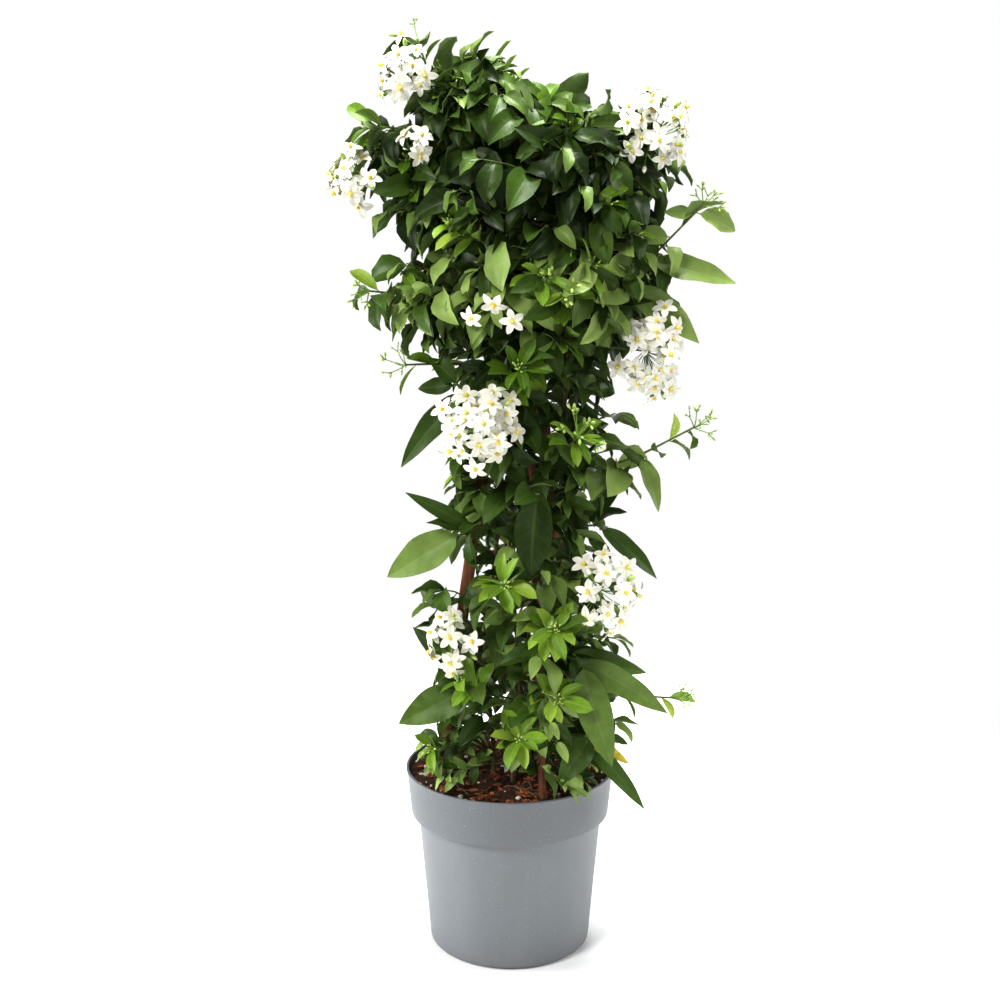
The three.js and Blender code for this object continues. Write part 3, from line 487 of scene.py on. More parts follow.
leafKinds = {
    "crown": {"length": 47, "width": 22, "arch": 0.9, "fold": 0.35, "twig": 0.3, "side": 0.8, "out": 0.6,
              "down": 0.4, "form": "ovate", "finish": "leaf"},
    "column": {"length": 42, "width": 18, "arch": 0.8, "fold": 0.3, "twig": 0.3, "side": 0.8, "out": 0.6,
               "down": 0.15, "form": "lance", "finish": "leaf"},
    "young": {"length": 28, "width": 11.5, "arch": 0.6, "fold": 0.4, "twig": 0.75, "side": 0.9, "out": 0.1,
              "down": -0.1, "form": "elliptic", "finish": "young"},
    "large": {"arch": 0.5, "fold": 0.25, "rise": 0.9, "faces": (0, -0.85, 0.5), "out": 0.35, "root": 0.97,
              "form": "broad", "finish": "leaf"},
    "crownFill": {"length": 40, "width": 19.5, "arch": 1.25, "fold": 0.48, "twig": 0.35, "side": 0.85,
                  "rise": 0.6, "out": 0.5, "down": 0.16, "up": 0.75, "face": 0.5, "stray": 0.75,
                  "form": "ovate", "finish": "leaf"},
    "columnFill": {"length": 36, "width": 15.5, "arch": 1.0, "fold": 0.4, "twig": 0.4, "side": 0.8,
                   "rise": 0.6, "out": 0.45, "down": 0.2, "up": 0.6, "face": 0.6, "stray": 0.6,
                   "form": "lance", "finish": "leaf"},
    "lowFill": {"length": 23, "width": 10, "arch": 0.8, "fold": 0.35, "twig": 0.4, "side": 0.8, "rise": 0.6,
                "out": 0.4, "down": -0.1, "up": 0.7, "face": 0.5, "stray": 0.5, "form": "lance",
                "finish": "leaf"},
    "varies": {"turn": 0.9, "roll": 0.9, "smallest": 0.78, "sizes": 0.44, "slimmest": 0.85, "widths": 0.3,
               "flattest": 0.5},
    "facing": {"up": 0.75, "out": 0.55},
}

# Blade outlines: half width grows as share^swell and closes as (1 - share)^taper past the stalk
leafForms = {
    "ovate": {"swell": 0.68, "taper": 0.95, "stalk": 0.1, "rows": 8, "across": 5, "wave": 0.12, "waves": 1.6},
    "lance": {"swell": 0.74, "taper": 1.02, "stalk": 0.12, "rows": 8, "across": 5, "wave": 0.1, "waves": 1.5},
    "elliptic": {"swell": 0.76, "taper": 0.66, "stalk": 0.08, "rows": 7, "across": 5, "wave": 0.03,
                 "waves": 1},
    "broad": {"swell": 0.58, "taper": 0.95, "stalk": 0.08, "rows": 14, "across": 9, "wave": 0.05,
              "waves": 2.2},
    "blade": {"thick": 0.5, "margin": 0.24, "stalkHalf": 0.55, "tipHalf": 0.22, "twist": 0.8, "sweep": 0.16,
              "skew": 0.9, "cup": 1.35, "stalkRow": 0.6, "rowGrowth": 1.05},
}


def stemSpot(index, height):
    turn = plan["stemTurns"][index] + plan["twist"] * (height - plan["passHeight"])
    spread = tableAt(plan["spread"], height)[0]
    x, y = tableAt(plan["middle"], height)
    return Vector((x + spread * math.cos(turn), y + spread * math.sin(turn), height))


def outwardAt(spot):
    x, y = tableAt(plan["middle"], spot.z)
    return Vector((spot.x - x, spot.y - y, 0)).normalized()


def massSpot(height, turn, share, inside=0):  # 0 is the middle of the leaf mass and 1 is its edge
    left, right, deep = tableAt(plan["edges"], height)
    middle = tableAt(plan["middle"], height)[1]
    wide = max(plan["thinnest"], (right - left) / 2 - inside) * share
    deep = max(plan["thinnest"], deep - inside) * share
    return Vector(((left + right) / 2 + wide * math.cos(turn), middle + deep * math.sin(turn), height))


class Twig:  # two straight lengths with a knee, as in the frame; drawn() rounds the knee
    def __init__(self, start, end, lift, swing):
        self.start, self.end = start, end
        self.knee = (start + end) / 2 + Vector((0, 0, lift / 2))
        self.knee += Vector((start.y - end.y, end.x - start.x, 0)).normalized() * swing / 2
        self.low = (self.knee - start).length
        self.whole = self.low + (end - self.knee).length

    def spot(self, share):
        run = min(max(share, 0), 1) * self.whole
        if run <= self.low:
            return self.start.lerp(self.knee, run / self.low)
        return self.knee.lerp(self.end, (run - self.low) / (self.whole - self.low))

    def way(self, share):
        return (self.spot(share + 1e-3) - self.spot(share - 1e-3)).normalized()

    def drawn(self, share):
        window = min(plan["kneeRound"], share, 1 - share)
        return (self.spot(share - window) + self.spot(share + window)) / 2


def orientLeaf(base, heading, facing, roll):
    along = heading.normalized()
    face = (facing - along * facing.dot(along)).normalized()
    face.rotate(Quaternion(along, roll))
    return {"base": base, "along": along, "face": face}


def bentLeaf(leaf, bend):
    turn = Quaternion(up, bend[0])
    heading = leaf["along"].copy()
    heading.rotate(turn)
    facing = leaf["face"].copy()
    facing.rotate(turn)
    return {**leaf, **orientLeaf(leaf["base"], heading + up * bend[1], facing, 0)}


def leafOnTwig(twig, bare, kind, index, count, draw):
    style, varies = leafKinds[kind], leafKinds["varies"]
    share = bare + (1 - bare) * ((index + 0.5) / count)
    turn = index * goldenTurn + (draw() - 0.5) * varies["turn"]
    size = varies["smallest"] + varies["sizes"] * draw()
    slim = varies["slimmest"] + varies["widths"] * draw()
    arch = style["arch"] * (varies["flattest"] + draw())
    roll = (draw() - 0.5) * varies["roll"]
    base = twig.spot(share)
    along = twig.way(share)
    flat = along.cross(up).normalized()
    rise = flat.cross(along)
    outward = outwardAt(base)
    heading = along * style["twig"] + flat * style["side"] * math.cos(turn)
    heading += rise * style.get("rise", style["side"]) * math.sin(turn)
    heading += outward * style["out"] - up * style["down"]
    facing = up * style.get("up", leafKinds["facing"]["up"])
    facing += outward * style.get("face", leafKinds["facing"]["out"])
    if "stray" in style:
        facing += Vector((draw() - 0.5, draw() - 0.5, draw() - 0.5)) * 2 * style["stray"]
    leaf = orientLeaf(base, heading, facing, roll)
    leaf.update(length=style["length"] * size, width=style["width"] * size * slim, arch=arch,
                fold=style["fold"], kind=kind)
    return leaf


def hangingLeaf(base, tip, width):
    style = leafKinds["large"]
    span = tip - base
    heading = span.normalized() + up * math.tan(style["arch"] / 2) * style["rise"]
    facing = Vector(style["faces"]) + outwardAt(tip) * style["out"]
    leaf = orientLeaf(base, heading, facing, 0)
    length = span.length * style["arch"] / 2 / math.sin(style["arch"] / 2)
    leaf.update(length=length, width=width, arch=style["arch"], fold=style["fold"], kind="large")
    return leaf


def leafMiddle(leaf, share):
    angle = leaf["arch"] * share
    run = leaf["length"] / leaf["arch"]
    return leaf["base"] + leaf["along"] * run * math.sin(angle) - leaf["face"] * run * (1 - math.cos(angle))


bladeGrids = {}


def bladeGrid(form):  # corners and faces of a closed blade, worked out once for each outline
    if form in bladeGrids:
        return bladeGrids[form]
    rows, across = leafForms[form]["rows"], leafForms[form]["across"]
    stalk = leafForms[form]["stalk"]
    blade = leafForms["blade"]
    grown = np.linspace(0.0, 1, rows) ** blade["rowGrowth"]
    shares = np.concatenate([[0, stalk * blade["stalkRow"]], stalk + (1 - stalk) * grown])
    lanes = np.linspace(-1, 1, across)
    count = len(shares) * across
    faces = []
    for i in range(len(shares) - 1):
        for k in range(across - 1):
            a = i * across + k
            faces.append([a, a + 1, a + 1 + across, a + across])
            faces.append([count + a, count + a + across, count + a + 1 + across, count + a + 1])
    last = (len(shares) - 1) * across
    rim = [i * across for i in range(len(shares))] + [last + k for k in range(1, across)]
    rim += [i * across + across - 1 for i in range(len(shares) - 2, -1, -1)] + list(range(across - 2, 0, -1))
    for a, b in zip(rim, rim[1:] + rim[:1]):
        faces.append([a, b, count + b, count + a])
    bladeGrids[form] = (np.repeat(shares, across), np.tile(lanes, len(shares)), faces)
    return bladeGrids[form]


def takeLeaf(gathered, leaf, tone, draw, finish=None):
    style = leafKinds[leaf["kind"]]
    form = leafForms[style["form"]]
    blade = leafForms["blade"]
    share, lane, faces = bladeGrid(style["form"])
    base, along, face = (np.array(leaf[key]) for key in ("base", "along", "face"))
    side = np.cross(along, face)
    length, arch, fold = leaf["length"], leaf["arch"], leaf["fold"]
    twist, sweep, phase = (draw() - 0.5) * blade["twist"], (draw() - 0.5) * blade["sweep"], draw() * anyTurn
    past = np.clip((share - form["stalk"]) / (1 - form["stalk"]), 0, 1)
    peak = form["swell"] / (form["swell"] + form["taper"])
    most = peak ** form["swell"] * (1 - peak) ** form["taper"]
    half = leaf["width"] / 2 * past ** form["swell"] * (1 - past) ** form["taper"] / most
    half = np.maximum(half, np.where(past > 0.5, blade["tipHalf"], blade["stalkHalf"]))
    angle = arch * share
    centre = base + np.outer(length * np.sin(angle) / arch, along)
    centre = centre - np.outer(length * (1 - np.cos(angle)) / arch, face)
    centre = centre + np.outer(length * sweep * share ** 2, side)
    normal = np.outer(np.cos(angle), face) + np.outer(np.sin(angle), along)
    turn = (twist * share)[:, None]
    sideways = side * np.cos(turn) + normal * np.sin(turn)
    normal = normal * np.cos(turn) - side * np.sin(turn)
    waves = 2 * math.pi * form["waves"] * past + phase + lane * blade["skew"]
    ripple = form["wave"] * leaf["width"] * np.sin(waves)
    raised = half * np.sin(fold) * np.abs(lane) ** blade["cup"] + ripple * lane ** 2 * half / half.max()
    spots = centre + sideways * (lane * half * math.cos(fold))[:, None] + normal * raised[:, None]
    thick = mixed(blade["thick"], blade["margin"], np.abs(lane)) / 2
    stacked = np.concatenate([spots + normal * thick[:, None], spots - normal * thick[:, None]])
    places = np.stack([lane, share, np.full(len(share), tone)], 1)
    backs = np.concatenate([np.zeros(len(share)), np.ones(len(share))])
    gathered.take(stacked, faces, finish or style["finish"], np.concatenate([places, places]), backs)


# Which of the plan's alternatives the frame took: the one whose places lie nearest the frame's own node

class Node:
    def __init__(self, name):
        mesh = frame["nodes"][name].data
        spots = [vertex.co / mm for vertex in mesh.vertices]
        self.tree = BVHTree.FromPolygons(spots, [tuple(face.vertices) for face in mesh.polygons])

    def gap(self, spots):
        return max(self.tree.find_nearest(spot)[3] for spot in spots)

    def nearest(self, options, spotsOf):
        gaps = [self.gap(spotsOf(option)) for option in options]
        least = min(gaps)
        return (options[gaps.index(least)] if least < plan["near"] else None)


def twigOptions(start, end, lift):
    return [Twig(start, end, lift + rise * plan["kneeLift"], turn * plan["kneeSwing"])
            for turn, rise in plan["bends"]]


def twigSpots(twig):
    return [twig.spot(share) for share in plan["twigChecks"]]


def firstTwig(node, root, end, lift):
    options = []
    for shift in plan["rootShifts"]:
        for index in range(len(plan["stemTurns"])):
            options += twigOptions(stemSpot(index, min(root + shift, plan["lastRoot"])), end, lift)
    return node.nearest(options, twigSpots) or options[0]


def fittedLeaf(node, leaf):
    options = [bentLeaf(leaf, bend) for bend in plan["bends"]]
    return node.nearest(options, lambda one: [leafMiddle(one, share) for share in plan["leafChecks"]])


def takeTwig(gathered, twig, thick=1.15, thin=0.7, sides=7):
    shares = [i / plan["twigSteps"] for i in range(plan["twigSteps"] + 1)]
    path = [twig.drawn(share) for share in shares]
    takeTube(gathered, path, [mixed(thick, thin, share) for share in shares], sides, "twig")


# Flowers

flower = {
    "radius": 11.5, "lobes": 5, "notch": 0.46, "rows": [0.13, 0.55, 1.0], "steps": 8, "thick": 0.4,
    "lobe": (1.1, 0.95), "droop": (0.28, 0.1), "edgeRise": 0.09,  # how round a lobe is and how it bends back
    "sizes": (0.92, 0.16), "opened": (0.05, 0.3), "flute": 0.12,
    "cone": [(1.0, 0.2), (1.45, 0.9), (1.35, 2.4), (0.85, 3.7), (0, 4.2)],
    "calyx": [(0.75, -4.2), (1.5, -3.3), (2.1, -1.6), (1.6, -0.4)],
    "bud": [(0.6, 0), (1.5, 0.9), (1.6, 2.2), (2.0, 4.0), (1.7, 6.2), (0.8, 7.8), (0, 8.3)],
    "budCup": [(0.5, -0.6), (1.3, 0.2), (1.9, 1.6), (1.75, 2.6)], "budLength": 8.3, "budSeat": 3.4,
    "coneSides": 10, "cupSides": 8, "stalkSides": 5,
}
# Thin stalks that sag between the shoot and the flower, and how buds stand round the tip of a shoot
stalkShape = {"seat": 4, "bow": 0.14, "sag": 0.6, "back": 0.4,
              "radii": [0.42, 0.38, 0.36, 0.38, 0.46, 0.7]}
budHead = {"openness": 0.85, "lengths": (0.55, 0.6), "sizes": (0.8, 0.4), "sunk": 1.5, "stray": 0.5,
           "lean": 0.6}
panicle = {"openness": 0.8, "lengths": (0.4, 0.6), "sag": 0.8, "radii": [0.55, 0.45, 0.4], "buds": 3,
           "budReach": 8}


def takeStar(gathered, centre, heading, spin, size, opened):
    steps, rows, notch = flower["steps"], flower["rows"], flower["notch"]
    whole = flower["lobes"] * steps
    turn = np.repeat(np.arange(whole)[None, :], len(rows), 0) * 2 * math.pi / whole
    lane = ((np.arange(whole) + steps / 2) % steps - steps / 2)[None, :]
    lane = np.repeat(lane, len(rows), 0) / (steps / 2)
    share = np.repeat(np.array(rows)[:, None], whole, 1)
    edge = np.abs(lane)
    reach = (notch + (1 - notch) * (1 - edge ** flower["lobe"][0]) ** flower["lobe"][1]) * share
    radius = flower["radius"] * size
    droop = flower["droop"][0] + flower["droop"][1] * np.sin(turn * 2 + spin)
    rise = opened * reach - droop * reach ** 3 + flower["edgeRise"] * reach * edge
    x = reach * np.cos(turn + spin) * radius
    y = reach * np.sin(turn + spin) * radius
    flat = np.stack([x.ravel(), y.ravel(), (rise * radius).ravel()], 1)
    half = [0, 0, flower["thick"] / 2]
    stacked = np.concatenate([flat + half, flat - half])
    count = len(rows) * whole
    faces = []
    for k in range(whole):
        nextK = (k + 1) % whole
        for i in range(len(rows) - 1):
            a, b, c, d = i * whole + k, i * whole + nextK, (i + 1) * whole + nextK, (i + 1) * whole + k
            faces.append([a, d, c, b])
            faces.append([count + a, count + b, count + c, count + d])
        outer = (len(rows) - 1) * whole
        faces.append([outer + k, count + outer + k, count + outer + nextK, outer + nextK])
        faces.append([k, nextK, count + nextK, count + k])
    places = np.stack([lane.ravel(), reach.ravel(), np.zeros(count)], 1)
    placed = stacked @ turnedTo(heading).T + np.array(centre)
    gathered.take(placed, faces, "petal", np.concatenate([places, places]))
    takeLathe(gathered, centre, heading, flower["cone"], flower["coneSides"], "anther", size, flower["flute"])
    takeLathe(gathered, centre, heading, flower["calyx"], flower["cupSides"], "stalk", size)


def takeStalk(gathered, root, centre, heading, size=1.0):
    end = centre - heading * stalkShape["seat"] * size
    sag = up * -stalkShape["sag"] + heading * -stalkShape["back"]
    bowed = (root + end) / 2 + (root - centre).length * stalkShape["bow"] * sag
    *radii, last = stalkShape["radii"]
    path = []
    for i in range(len(radii) + 1):
        share = i / len(radii)
        path.append(root.lerp(bowed, share).lerp(bowed.lerp(end, share), share))
    takeTube(gathered, path, radii + [last * size], flower["stalkSides"], "stalk")


def takeFlower(gathered, root, centre, heading, draw, size=1.0):
    size *= within(flower["sizes"], draw)
    takeStar(gathered, centre, heading, draw() * anyTurn, size, within(flower["opened"], draw))
    takeStalk(gathered, root, centre, heading, size)


def takeBud(gathered, root, tip, size, finish):  # a closed bud on its stalk
    heading = (tip - root).normalized()
    base = tip - heading * flower["budLength"] * size
    takeStalk(gathered, root, base + heading * flower["budSeat"] * size, heading, size)
    takeLathe(gathered, base, heading, flower["bud"], flower["cupSides"], finish, size)
    takeLathe(gathered, base, heading, flower["budCup"], flower["cupSides"], "stalk", size)


def takePanicle(gathered, tip, heading, branches, reach, size, draw):  # buds in threes and fours
    for i in range(branches):
        way = capDirection(heading, i, branches, panicle["openness"], draw)
        fork = tip + way * reach * within(panicle["lengths"], draw)
        middle = (tip + fork) / 2 - up * panicle["sag"]
        path = [tip - heading * budHead["sunk"], middle, fork]
        takeTube(gathered, path, panicle["radii"], flower["stalkSides"], "stalk")
        takeBudHead(gathered, fork, way, panicle["buds"] + i % 2, panicle["budReach"], size, draw)


def capDirection(heading, index, count, openness, draw):  # directions spread evenly over a cap
    depth = 1 - openness * ((index + 0.5) / count)
    turn = index * goldenTurn + (draw() - 0.5) * budHead["stray"]
    wide = math.sqrt(max(0, 1 - depth * depth))
    way = Vector((wide * math.cos(turn), wide * math.sin(turn), depth))
    way.rotate(up.rotation_difference(heading))
    return way


def takeBudHead(gathered, tip, heading, count, reach, size, draw):
    for i in range(count):  # small buds that stand round a shoot's tip
        way = capDirection(heading, i, count, budHead["openness"], draw)
        bud = tip + way * (reach * within(budHead["lengths"], draw))
        takeBud(gathered, tip - heading * budHead["sunk"], bud, size * within(budHead["sizes"], draw), "bud")


# Heads: name, root height, centre, way it faces, radius, stretch in height, flowers, more flowers, buds
heads = [
    ("top_left", 715, (-88, -28, 782), (-0.5, -0.75, 0.4), 23, 1.25, 7, 11, 3),
    ("far_left", 660, (-128, -32, 698), (-0.6, -0.7, 0.2), 25, 1, 8, 9, 5),
    ("near_left", 690, (-76, -52, 728), (-0.3, -0.8, 0.5), 13, 1, 3, 3, 2),
    ("right", 680, (116, -48, 737), (0.3, -0.8, 0.5), 30, 1, 9, 12, 8),
    ("right_low", 560, (117, -48, 556), (0.35, -0.9, 0.1), 27, 1.45, 13, 22, 4),
    ("middle", 490, (-24, -80, 497), (-0.15, -0.95, 0.25), 32, 1, 17, 22, 2),
    ("low_right", 350, (79, -72, 354), (0.35, -0.85, 0.2), 27, 1.3, 11, 10, 5),
    ("low_left", 305, (-50, -70, 308), (-0.4, -0.85, 0.2), 22, 1.25, 8, 6, 3),
    ("back_high", 660, (70, 92, 676), (0.4, 0.85, 0.3), 25, 1, 6, 8, 3),
    ("back_middle", 470, (-42, 76, 476), (-0.4, 0.85, 0.2), 23, 1, 5, 8, 3),
    ("back_low", 300, (34, 82, 312), (0.3, 0.9, 0.2), 22, 1, 5, 7, 3),
]
headShape = {
    "hubBack": 0.3, "openness": 1.05, "depths": (0.86, 0.28), "faceTogether": 0.35, "stalkFrom": 0.12,
    "checkOut": 0.3, "checkBack": 4,
    "more": {"openness": 0.95, "depths": (0.62, 0.34), "faceTogether": 0.5, "size": 0.86},
    "buds": {"from": 0.3, "openness": 1.25, "depths": (1.0, 0.25), "sizes": (0.8, 0.35)},
}


def headSpot(centre, way, radius, share, tall):
    spot = way * radius * share
    spot.z *= tall
    return spot + centre


def bentWays(heading):
    ways = []
    for turn, rise in plan["bends"]:
        way = heading.copy()
        way.rotate(Quaternion(up, turn))
        ways.append((way + up * rise).normalized())
    return ways


def makeHead(row, number):
    name, root, centre, faces, radius, tall, flowers, more, buds = row
    node = Node("head_" + name)
    centre, faces = Vector(centre), Vector(faces).normalized()
    hub = centre - faces * headShape["hubBack"] * radius
    twig = firstTwig(node, root, hub, plan["lifts"]["head"])
    gathered = Gathered()
    takeTwig(gathered, twig)
    draw, own = drawsFrom(seeds["head"] + number), drawsFrom(seeds["own"] + seeds["head"] + number)
    for i in range(flowers):
        way = capDirection(faces, i, flowers, headShape["openness"], draw)
        spot = headSpot(centre, way, radius, within(headShape["depths"], draw), tall)
        heading = way.lerp(faces, headShape["faceTogether"]).normalized()
        out = headShape["checkOut"]
        heading = node.nearest(bentWays(heading), lambda way: [
            spot + way.orthogonal().normalized() * out * flower["radius"],
            spot - way * headShape["checkBack"]]) or heading
        takeFlower(gathered, hub + (spot - hub) * headShape["stalkFrom"], spot, heading, own)
    rule = headShape["more"]
    for i in range(more):
        way = capDirection(faces, i, more, rule["openness"], own)
        spot = headSpot(centre, way, radius, within(rule["depths"], own), tall)
        takeFlower(gathered, hub, spot, way.lerp(faces, rule["faceTogether"]).normalized(), own, rule["size"])
    rule = headShape["buds"]
    for i in range(buds):
        way = capDirection(faces, i + rule["from"], buds, rule["openness"], own)
        spot = headSpot(centre, way, radius, within(rule["depths"], own), tall)
        takeBud(gathered, hub, spot, within(rule["sizes"], own), "whiteBud" if i % 2 else "bud")
    makePiece("fine_head_" + name, gathered, ["head_" + name])


for number, row in enumerate(heads):
    makeHead(row, number)
print("heads made:", len(heads))


# Single flowers on one thin twig, the flower that has dropped, and the soil that it lies on
singles = {
    "root": 600, "end": (-10, -88, 604),
    "thick": 1.0, "thin": 0.6,
    "flowers": [((1, -106, 588), (0.1, -1, 0.15)), ((-14, -101, 601), (-0.2, -0.75, -0.6)),
                ((-32, -98, 590), (-0.5, -0.7, -0.5))],
}
dropped = {"shrink": 0.78, "stub": 5.2, "tilt": 0.12, "turn": 0.4, "clear": 0.3, "opened": 0.1}
soil = {
    "top": 160, "lump": 2.2, "floor": 3.3, "rings": 46, "turns": 96, "rimGap": 0.6, "firstRing": 0.35,
    "waves": [(0.11, 1.3), (0.13, -0.4), (0.6, 0.23, 0.19)],  # slow swells of the top
    "crumb": 1.5, "crumbs": [(1, 0.16), (0.8, 0.4), (0.5, 0.9)], "sunk": 0.4, "side": 5, "shoulder": 1,
    "above": 0.6, "below": 0.4, "foot": 8,
}


def soilHeight(x, y):
    (perX, startX), (perY, startY), (share, crossX, crossY) = soil["waves"]
    waves = math.sin(x * perX + startX) * math.cos(y * perY + startY)
    return soil["top"] + soil["lump"] * (waves + share * math.sin(x * crossX - y * crossY))


def makeSingles():
    node = Node("single_flowers")
    end = Vector(singles["end"])
    gathered = Gathered()
    twig = firstTwig(node, singles["root"], end, plan["lifts"]["head"])
    takeTwig(gathered, twig, singles["thick"], singles["thin"])
    draw = drawsFrom(seeds["singles"])
    for centre, faces in singles["flowers"]:
        takeFlower(gathered, end, Vector(centre), Vector(faces).normalized(), draw)
    makePiece("fine_single_flowers", gathered, ["single_flowers"])
    gathered = Gathered()
    tilt = Vector((0, -math.sin(dropped["tilt"]), math.cos(dropped["tilt"])))
    height = soilHeight(0, 0) + dropped["clear"] + dropped["stub"] * dropped["shrink"]
    takeStar(gathered, Vector((0, 0, height)), tilt, dropped["turn"], dropped["shrink"], dropped["opened"])
    makePiece("fine_fallen_flower", gathered, ["fallen_flower"])


makeSingles()

# Young tips: name, root height, end, leaves in the frame, more leaves, buds, branches of buds
tips = [
    ("crown_left", 630, (-50, -74, 664), 5, 8, 12, 0),
    ("crown_front", 600, (44, -100, 610), 6, 6, 6, 3),
    ("neck", 525, (7, -92, 548), 5, 8, 14, 0),
    ("waist", 460, (55, -90, 490), 5, 3, 0, 7),
    ("middle", 345, (-4, -92, 364), 6, 8, 15, 0),
    ("front", 300, (36, -98, 327), 6, 8, 14, 0),
    ("low_right", 245, (40, -92, 262), 5, 7, 13, 0),
    ("low_left", 235, (-44, -76, 276), 5, 7, 13, 0),
    ("soil", 200, (8, -84, 224), 5, 6, 9, 0),
]
tipTones = {"lit": (0.25, 0.9), "neck": (-0.3, 0.2), "waist": (0.05, 0.6)}  # two stand in the crown's shade
tipShape = {
    "moreFrom": 0.55, "dimmer": 0.15, "duller": 0.2,  # the further leaves are a little darker
    "oldAbove": 240, "oldFrom": 0.2, "old": 2, "oldTones": (0.25, 0.6),
    "budReach": 7.5, "budSize": 0.42, "stalk": 5, "stalkRadii": [0.7, 0.6], "fork": 4,
    "branchReach": 24, "branchSize": 0.6,
}
endLeaf = {"twig": 0.8, "out": 0.4, "down": (0.1, 0.5), "sunk": 1.5, "up": 0.8, "face": 0.5,
           "sizes": (0.55, 0.3), "tones": (0.6, 0.7)}


def addLeaves(gathered, node, twig, bare, kind, count, draw, own, tones):
    for i in range(count):
        leaf = leafOnTwig(twig, bare, kind, i, count, draw)
        leaf = fittedLeaf(node, leaf) if node else leaf
        if leaf:
            takeLeaf(gathered, leaf, mixed(*tones, own()), own)


def takeEndLeaf(gathered, twig, kind, tones, own):  # the youngest leaf, in line with its twig
    style = leafKinds[kind]
    outward, way = outwardAt(twig.end), twig.way(1)
    heading = way * endLeaf["twig"] + outward * endLeaf["out"] - up * within(endLeaf["down"], own)
    facing = up * endLeaf["up"] + outward * endLeaf["face"]
    leaf = orientLeaf(twig.end - way * endLeaf["sunk"], heading, facing, own() - 0.5)
    size = within(endLeaf["sizes"], own)
    leaf.update(length=style["length"] * size, width=style["width"] * size, arch=style["arch"],
                fold=style["fold"], kind=kind)
    takeLeaf(gathered, leaf, mixed(*tones, within(endLeaf["tones"], own)), own)


def makeTip(row, number):
    name, root, end, leaves, more, buds, branches = row
    node = Node("tip_" + name)
    twig = firstTwig(node, root, Vector(end), plan["lifts"]["young"])
    gathered = Gathered()
    takeTwig(gathered, twig)
    draw, own = drawsFrom(seeds["tip"] + number), drawsFrom(seeds["own"] + seeds["tip"] + number)
    rule, tones = tipShape, tipTones.get(name, tipTones["lit"])
    darker = (tones[0] - rule["dimmer"], tones[1] - rule["duller"])
    addLeaves(gathered, node, twig, plan["bare"]["young"], "young", leaves, draw, own, tones)
    addLeaves(gathered, None, twig, rule["moreFrom"], "young", more, own, own, darker)
    if end[2] > rule["oldAbove"]:
        addLeaves(gathered, None, twig, rule["oldFrom"], "column", rule["old"], own, own, rule["oldTones"])
    way = (twig.way(1) + up * budHead["lean"]).normalized()
    takeBudHead(gathered, twig.end, way, buds, rule["budReach"], rule["budSize"], own)
    if branches:
        takeTube(gathered, [twig.end - way, twig.end + way * rule["stalk"]], rule["stalkRadii"], 6, "stalk")
    takePanicle(gathered, twig.end + way * rule["fork"], way, branches, rule["branchReach"],
                rule["branchSize"], own)
    makePiece("fine_tip_" + name, gathered, ["tip_" + name])


for number, row in enumerate(tips):
    makeTip(row, number)
print("young tips made:", len(tips))

# Shoots with large leaves: name, root height, end, and each leaf's place, where it hangs to, width and tone
shoots = [
    ("left_high", 512, (-48, -36, 526), [(0.7, (-93, -50, 455), 24, 0.25), (1, (-80, -32, 514), 16, 0.2)]),
    ("left_middle", 405, (-42, -46, 398),
     [(0.7, (-88, -70, 422), 14, 0.35), (1, (-101, -55, 348), 34, 0.7)]),
    ("left_low", 262, (-34, -58, 262), [(0.7, (-92, -42, 301), 22, 0.2), (1, (-89, -80, 224), 33, 0.5)]),
    ("front", 430, (24, -72, 438), [(1, (14, -86, 368), 34, 0.12)]),
    ("right_middle", 395, (76, -34, 402),
     [(0.7, (104, -60, 446), 18, 0.25), (1, (127, -42, 352), 18, 0.3)]),
    ("right_low", 285, (62, -74, 292),
     [(0.6, (111, -80, 268), 24, 0.5), (0.85, (134, -68, 241), 24, 0.6), (1, (87, -97, 203), 31, 0.6)]),
    ("rim", 205, (74, -62, 220),
     [(0.6, (99, -72, 172), 17, 0.5), (0.85, (118, -60, 150), 16, 0.4), (1, (47, -86, 181), 25, 0.35)]),
]
withered = {"shoot": "rim", "share": 0.8, "tip": (101, -64, 186), "width": 14}  # one old leaf gone yellow

# Long arms: name, root height, end, lift, leaf kind, leaves, kind of the further leaves, how many of them,
# branches of buds, hanging leaves
arms = [
    ("right_high", 575, (160, -42, 678), -56, "young", 3, "crownFill", 8, 6,
     [(0.68, (181, -62, 602), 26, 0.85), (0.52, (152, -64, 561), 29, 0.9)]),
    ("right_middle", 440, (157, -50, 492), -22, "young", 2, "columnFill", 6, 6,
     [(0.62, (127, -62, 422), 17, 0.8), (0.4, (92, -78, 434), 19, 0.75)]),
    ("top", 715, (-50, -24, 782), 6, "crown", 5, "crownFill", 7, 2, [(1, (-5, -34, 784), 20, 0.5)]),
    ("top_tip", 728, (-78, -8, 812), 10, "young", 5, "crownFill", 9, 2, []),
    ("left_high", 585, (-120, -40, 606), 6, "young", 4, "crownFill", 9, 5, []),
    ("left_middle", 535, (-90, -30, 542), 2, "young", 1, "young", 3, 5, []),
    ("right_low", 240, (150, -32, 243), -4, "young", 3, "young", 5, 4, []),
]
armTones = {"left": (0.2, 0.75), "right": (0.4, 1.0)}
shootShape = {
    "thick": 1.3, "thin": 0.8, "from": 0.25, "leaves": 4, "tones": (0.1, 0.5),
    "armFrom": 0.2, "sagsBelow": 4, "rise": 0.6, "sag": -0.7, "branchReach": 19, "budSize": 0.42,
}
# Broad pale leaves that hang to the left of an arm's stem: share of the stem, tip, width and tone
paleLeaves = {
    "right_high": [(0.62, (87, -94, 621), 27, 1.0), (0.8, (96, -60, 647), 18, 0.85),
                   (0.5, (80, -98, 598), 29, 1.0), (0.94, (128, -48, 669), 12, 0.7)],
    "right_middle": [(0.45, (87, -88, 439), 30, 0.95), (0.3, (74, -90, 436), 22, 0.75)],
}


